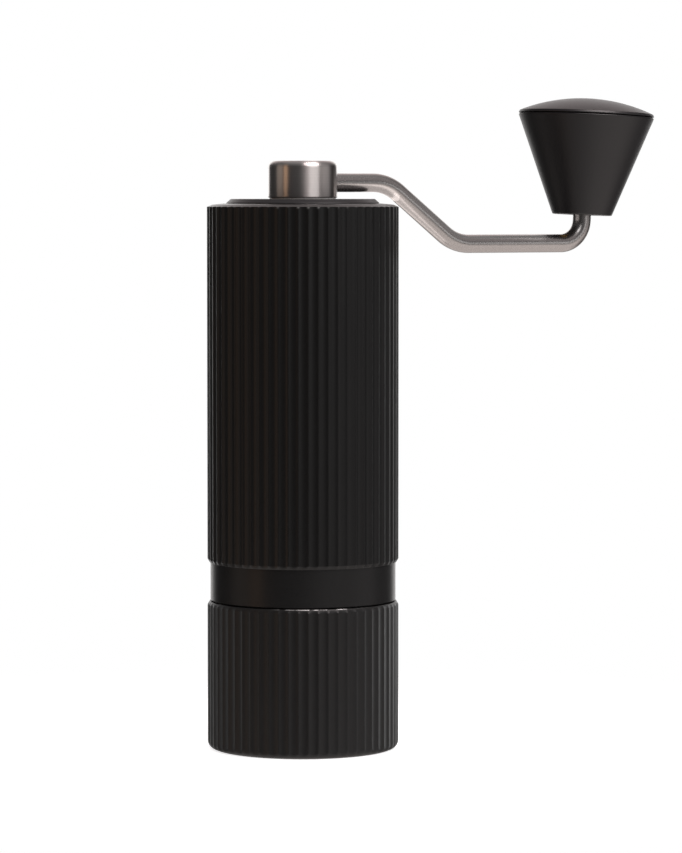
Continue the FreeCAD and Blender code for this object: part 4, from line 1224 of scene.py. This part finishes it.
    def build_floor(self) -> None:
        """Lay the floor: a disc whose rings widen outwards, fading into the white around it."""
        rings = self.floor_radius * np.linspace(0.0, 1.0, self.floor_rings) ** 2
        outline = np.stack([rings[::-1], np.full(self.floor_rings, -self.floor_drop)], axis=1)
        floor = skin("floor", turned(outline, ROUND_TURNS), poles=(False, True))
        made = bpy.data.materials.new("pale_floor")
        made.use_nodes = True
        board = Board(made.node_tree, "ShaderNodeBsdfPrincipled", "ShaderNodeOutputMaterial")
        spot = board.spot()
        x, y, _ = board.parts(spot)
        reach = (x * x + y * y) ** 0.5
        tone = board.noise(spot, self.floor_mottle, self.floor_detail)
        board.set("Base Color", board.mix(tone, *self.floor_tones))
        board.set("Roughness", self.floor_roughness)
        board.set("Alpha", 1.0 - reach.between(self.floor_clear, self.floor_radius))
        board.set("Emission Color", self.white)
        board.set("Emission Strength", self.floor_glow)
        floor.data.materials.append(made)
        floor.visible_glossy = False

    def build_world(self) -> None:
        """Surround the grinder: white to look at, and in reflections a room that changes all round."""
        world = bpy.data.worlds.new("studio")
        world.use_nodes = True
        bpy.context.scene.world = world
        board = Board(world.node_tree, "ShaderNodeBackground", "ShaderNodeOutputWorld")
        way = board.node("ShaderNodeTexCoord", {}, {}, "Generated")
        turned_way = board.node(
            "ShaderNodeVectorRotate",
            {"rotation_type": "Z_AXIS"},
            {"Vector": way, "Angle": -math.radians(self.azimuth)},
        )
        right, ahead, rise = board.parts(turned_way)
        bearing = board.node("ShaderNodeMath", {"operation": "ARCTAN2"}, {0: right, 1: 0.0 - ahead})
        share = bearing * (0.5 / math.pi) + 0.5
        walls, ground, sky = (
            board.node(
                "ShaderNodeValToRGB",
                {"stops": tuple(((angle + 180.0) / 360.0, colour) for angle, colour in stops)},
                {0: share},
            )
            for stops in (self.walls, self.ground, self.sky)
        )
        overhead = board.mix(rise.between(*self.ceiling_limits), sky, self.ceiling)
        above = board.mix(rise.between(*self.sky_limits), walls, overhead)
        under = board.mix((0.0 - rise).between(*self.below_limits), ground, self.below)
        around = board.mix((0.0 - rise).between(*self.ground_limits), above, under)
        seen = board.node("ShaderNodeLightPath", {}, {}, "Is Camera Ray")
        board.set("Color", board.mix(seen, around, self.white))
        board.set("Strength", 1.0)

    @staticmethod
    def group(name: str, pieces: tuple[str, ...], linking: Linking) -> bpy.types.Collection:
        """Collect pieces that a light acts on alone, or that it leaves out.

        Args:
            name: The collection's name.
            pieces: The names of the pieces.
            linking: Which of the two.

        Returns:
            The collection.
        """
        made = bpy.data.collections.new(name)
        for piece in pieces:
            made.objects.link(bpy.data.objects[piece])
        for member in made.collection_objects:
            member.light_linking.link_state = linking.value
        return made

    def build_boxes(self) -> None:
        """Hang the soft boxes, each turned to its aim, with a power of glow times pi times its area."""
        for box in self.boxes:
            light = bpy.data.lights.new(box.name, "AREA")
            light.shape = box.outline.value
            light.size = box.width * MM
            light.size_y = box.height * MM
            light.color = box.colour
            fill = math.pi / 4 if box.outline is Outline.ELLIPSE else 1.0
            light.energy = box.glow * math.pi * fill * light.size * light.size_y
            lamp = bpy.data.objects.new(box.name, light)
            lamp.location = self.place(box.right, box.near, box.up)
            away = lamp.location - Vector(self.place(*box.aim))
            lamp.rotation_euler = away.to_track_quat("Z", "Y").to_euler()
            lamp.visible_camera = False
            bpy.context.scene.collection.objects.link(lamp)
            if box.skips:
                members = self.group(box.name + "_skips", box.skips, Linking.LEFT_OUT)
                lamp.light_linking.receiver_collection = members
            if box.lights:
                members = self.group(box.name + "_lights", box.lights, Linking.ALONE)
                lamp.light_linking.receiver_collection = members

    def build_camera(self) -> None:
        """Set up the camera at the photograph's angle."""
        camera = bpy.data.cameras.new("camera")
        camera.lens = self.lens
        camera.sensor_width = self.sensor
        camera.clip_start = self.clip_start
        camera.clip_end = self.clip_end
        eye = bpy.data.objects.new("camera", camera)
        eye.location = self.place(self.sideways, self.distance, self.eye)
        eye.rotation_euler = (math.radians(90.0 - self.pitch), 0.0, math.radians(self.azimuth))
        bpy.context.scene.collection.objects.link(eye)
        bpy.context.scene.camera = eye
        bpy.context.scene.view_settings.view_transform = "Standard"

    def build(self) -> None:
        """Set up camera, floor, surroundings and lights."""
        self.build_camera()
        self.build_floor()
        self.build_world()
        self.build_boxes()


def main() -> None:
    """Load the frame, build and dress the grinder and set up its picture."""
    logging.basicConfig(level=logging.INFO, format="%(name)s: %(message)s")
    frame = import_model()
    dressing = Dressing()
    for assembly in (Sleeve, CatchCup, Lid, Crank, Knob, BurrSpring):
        assembly(dressing).build()
    dressing.dress_nodes(frame)
    Studio().build()


if __name__ == "__main__":
    main()
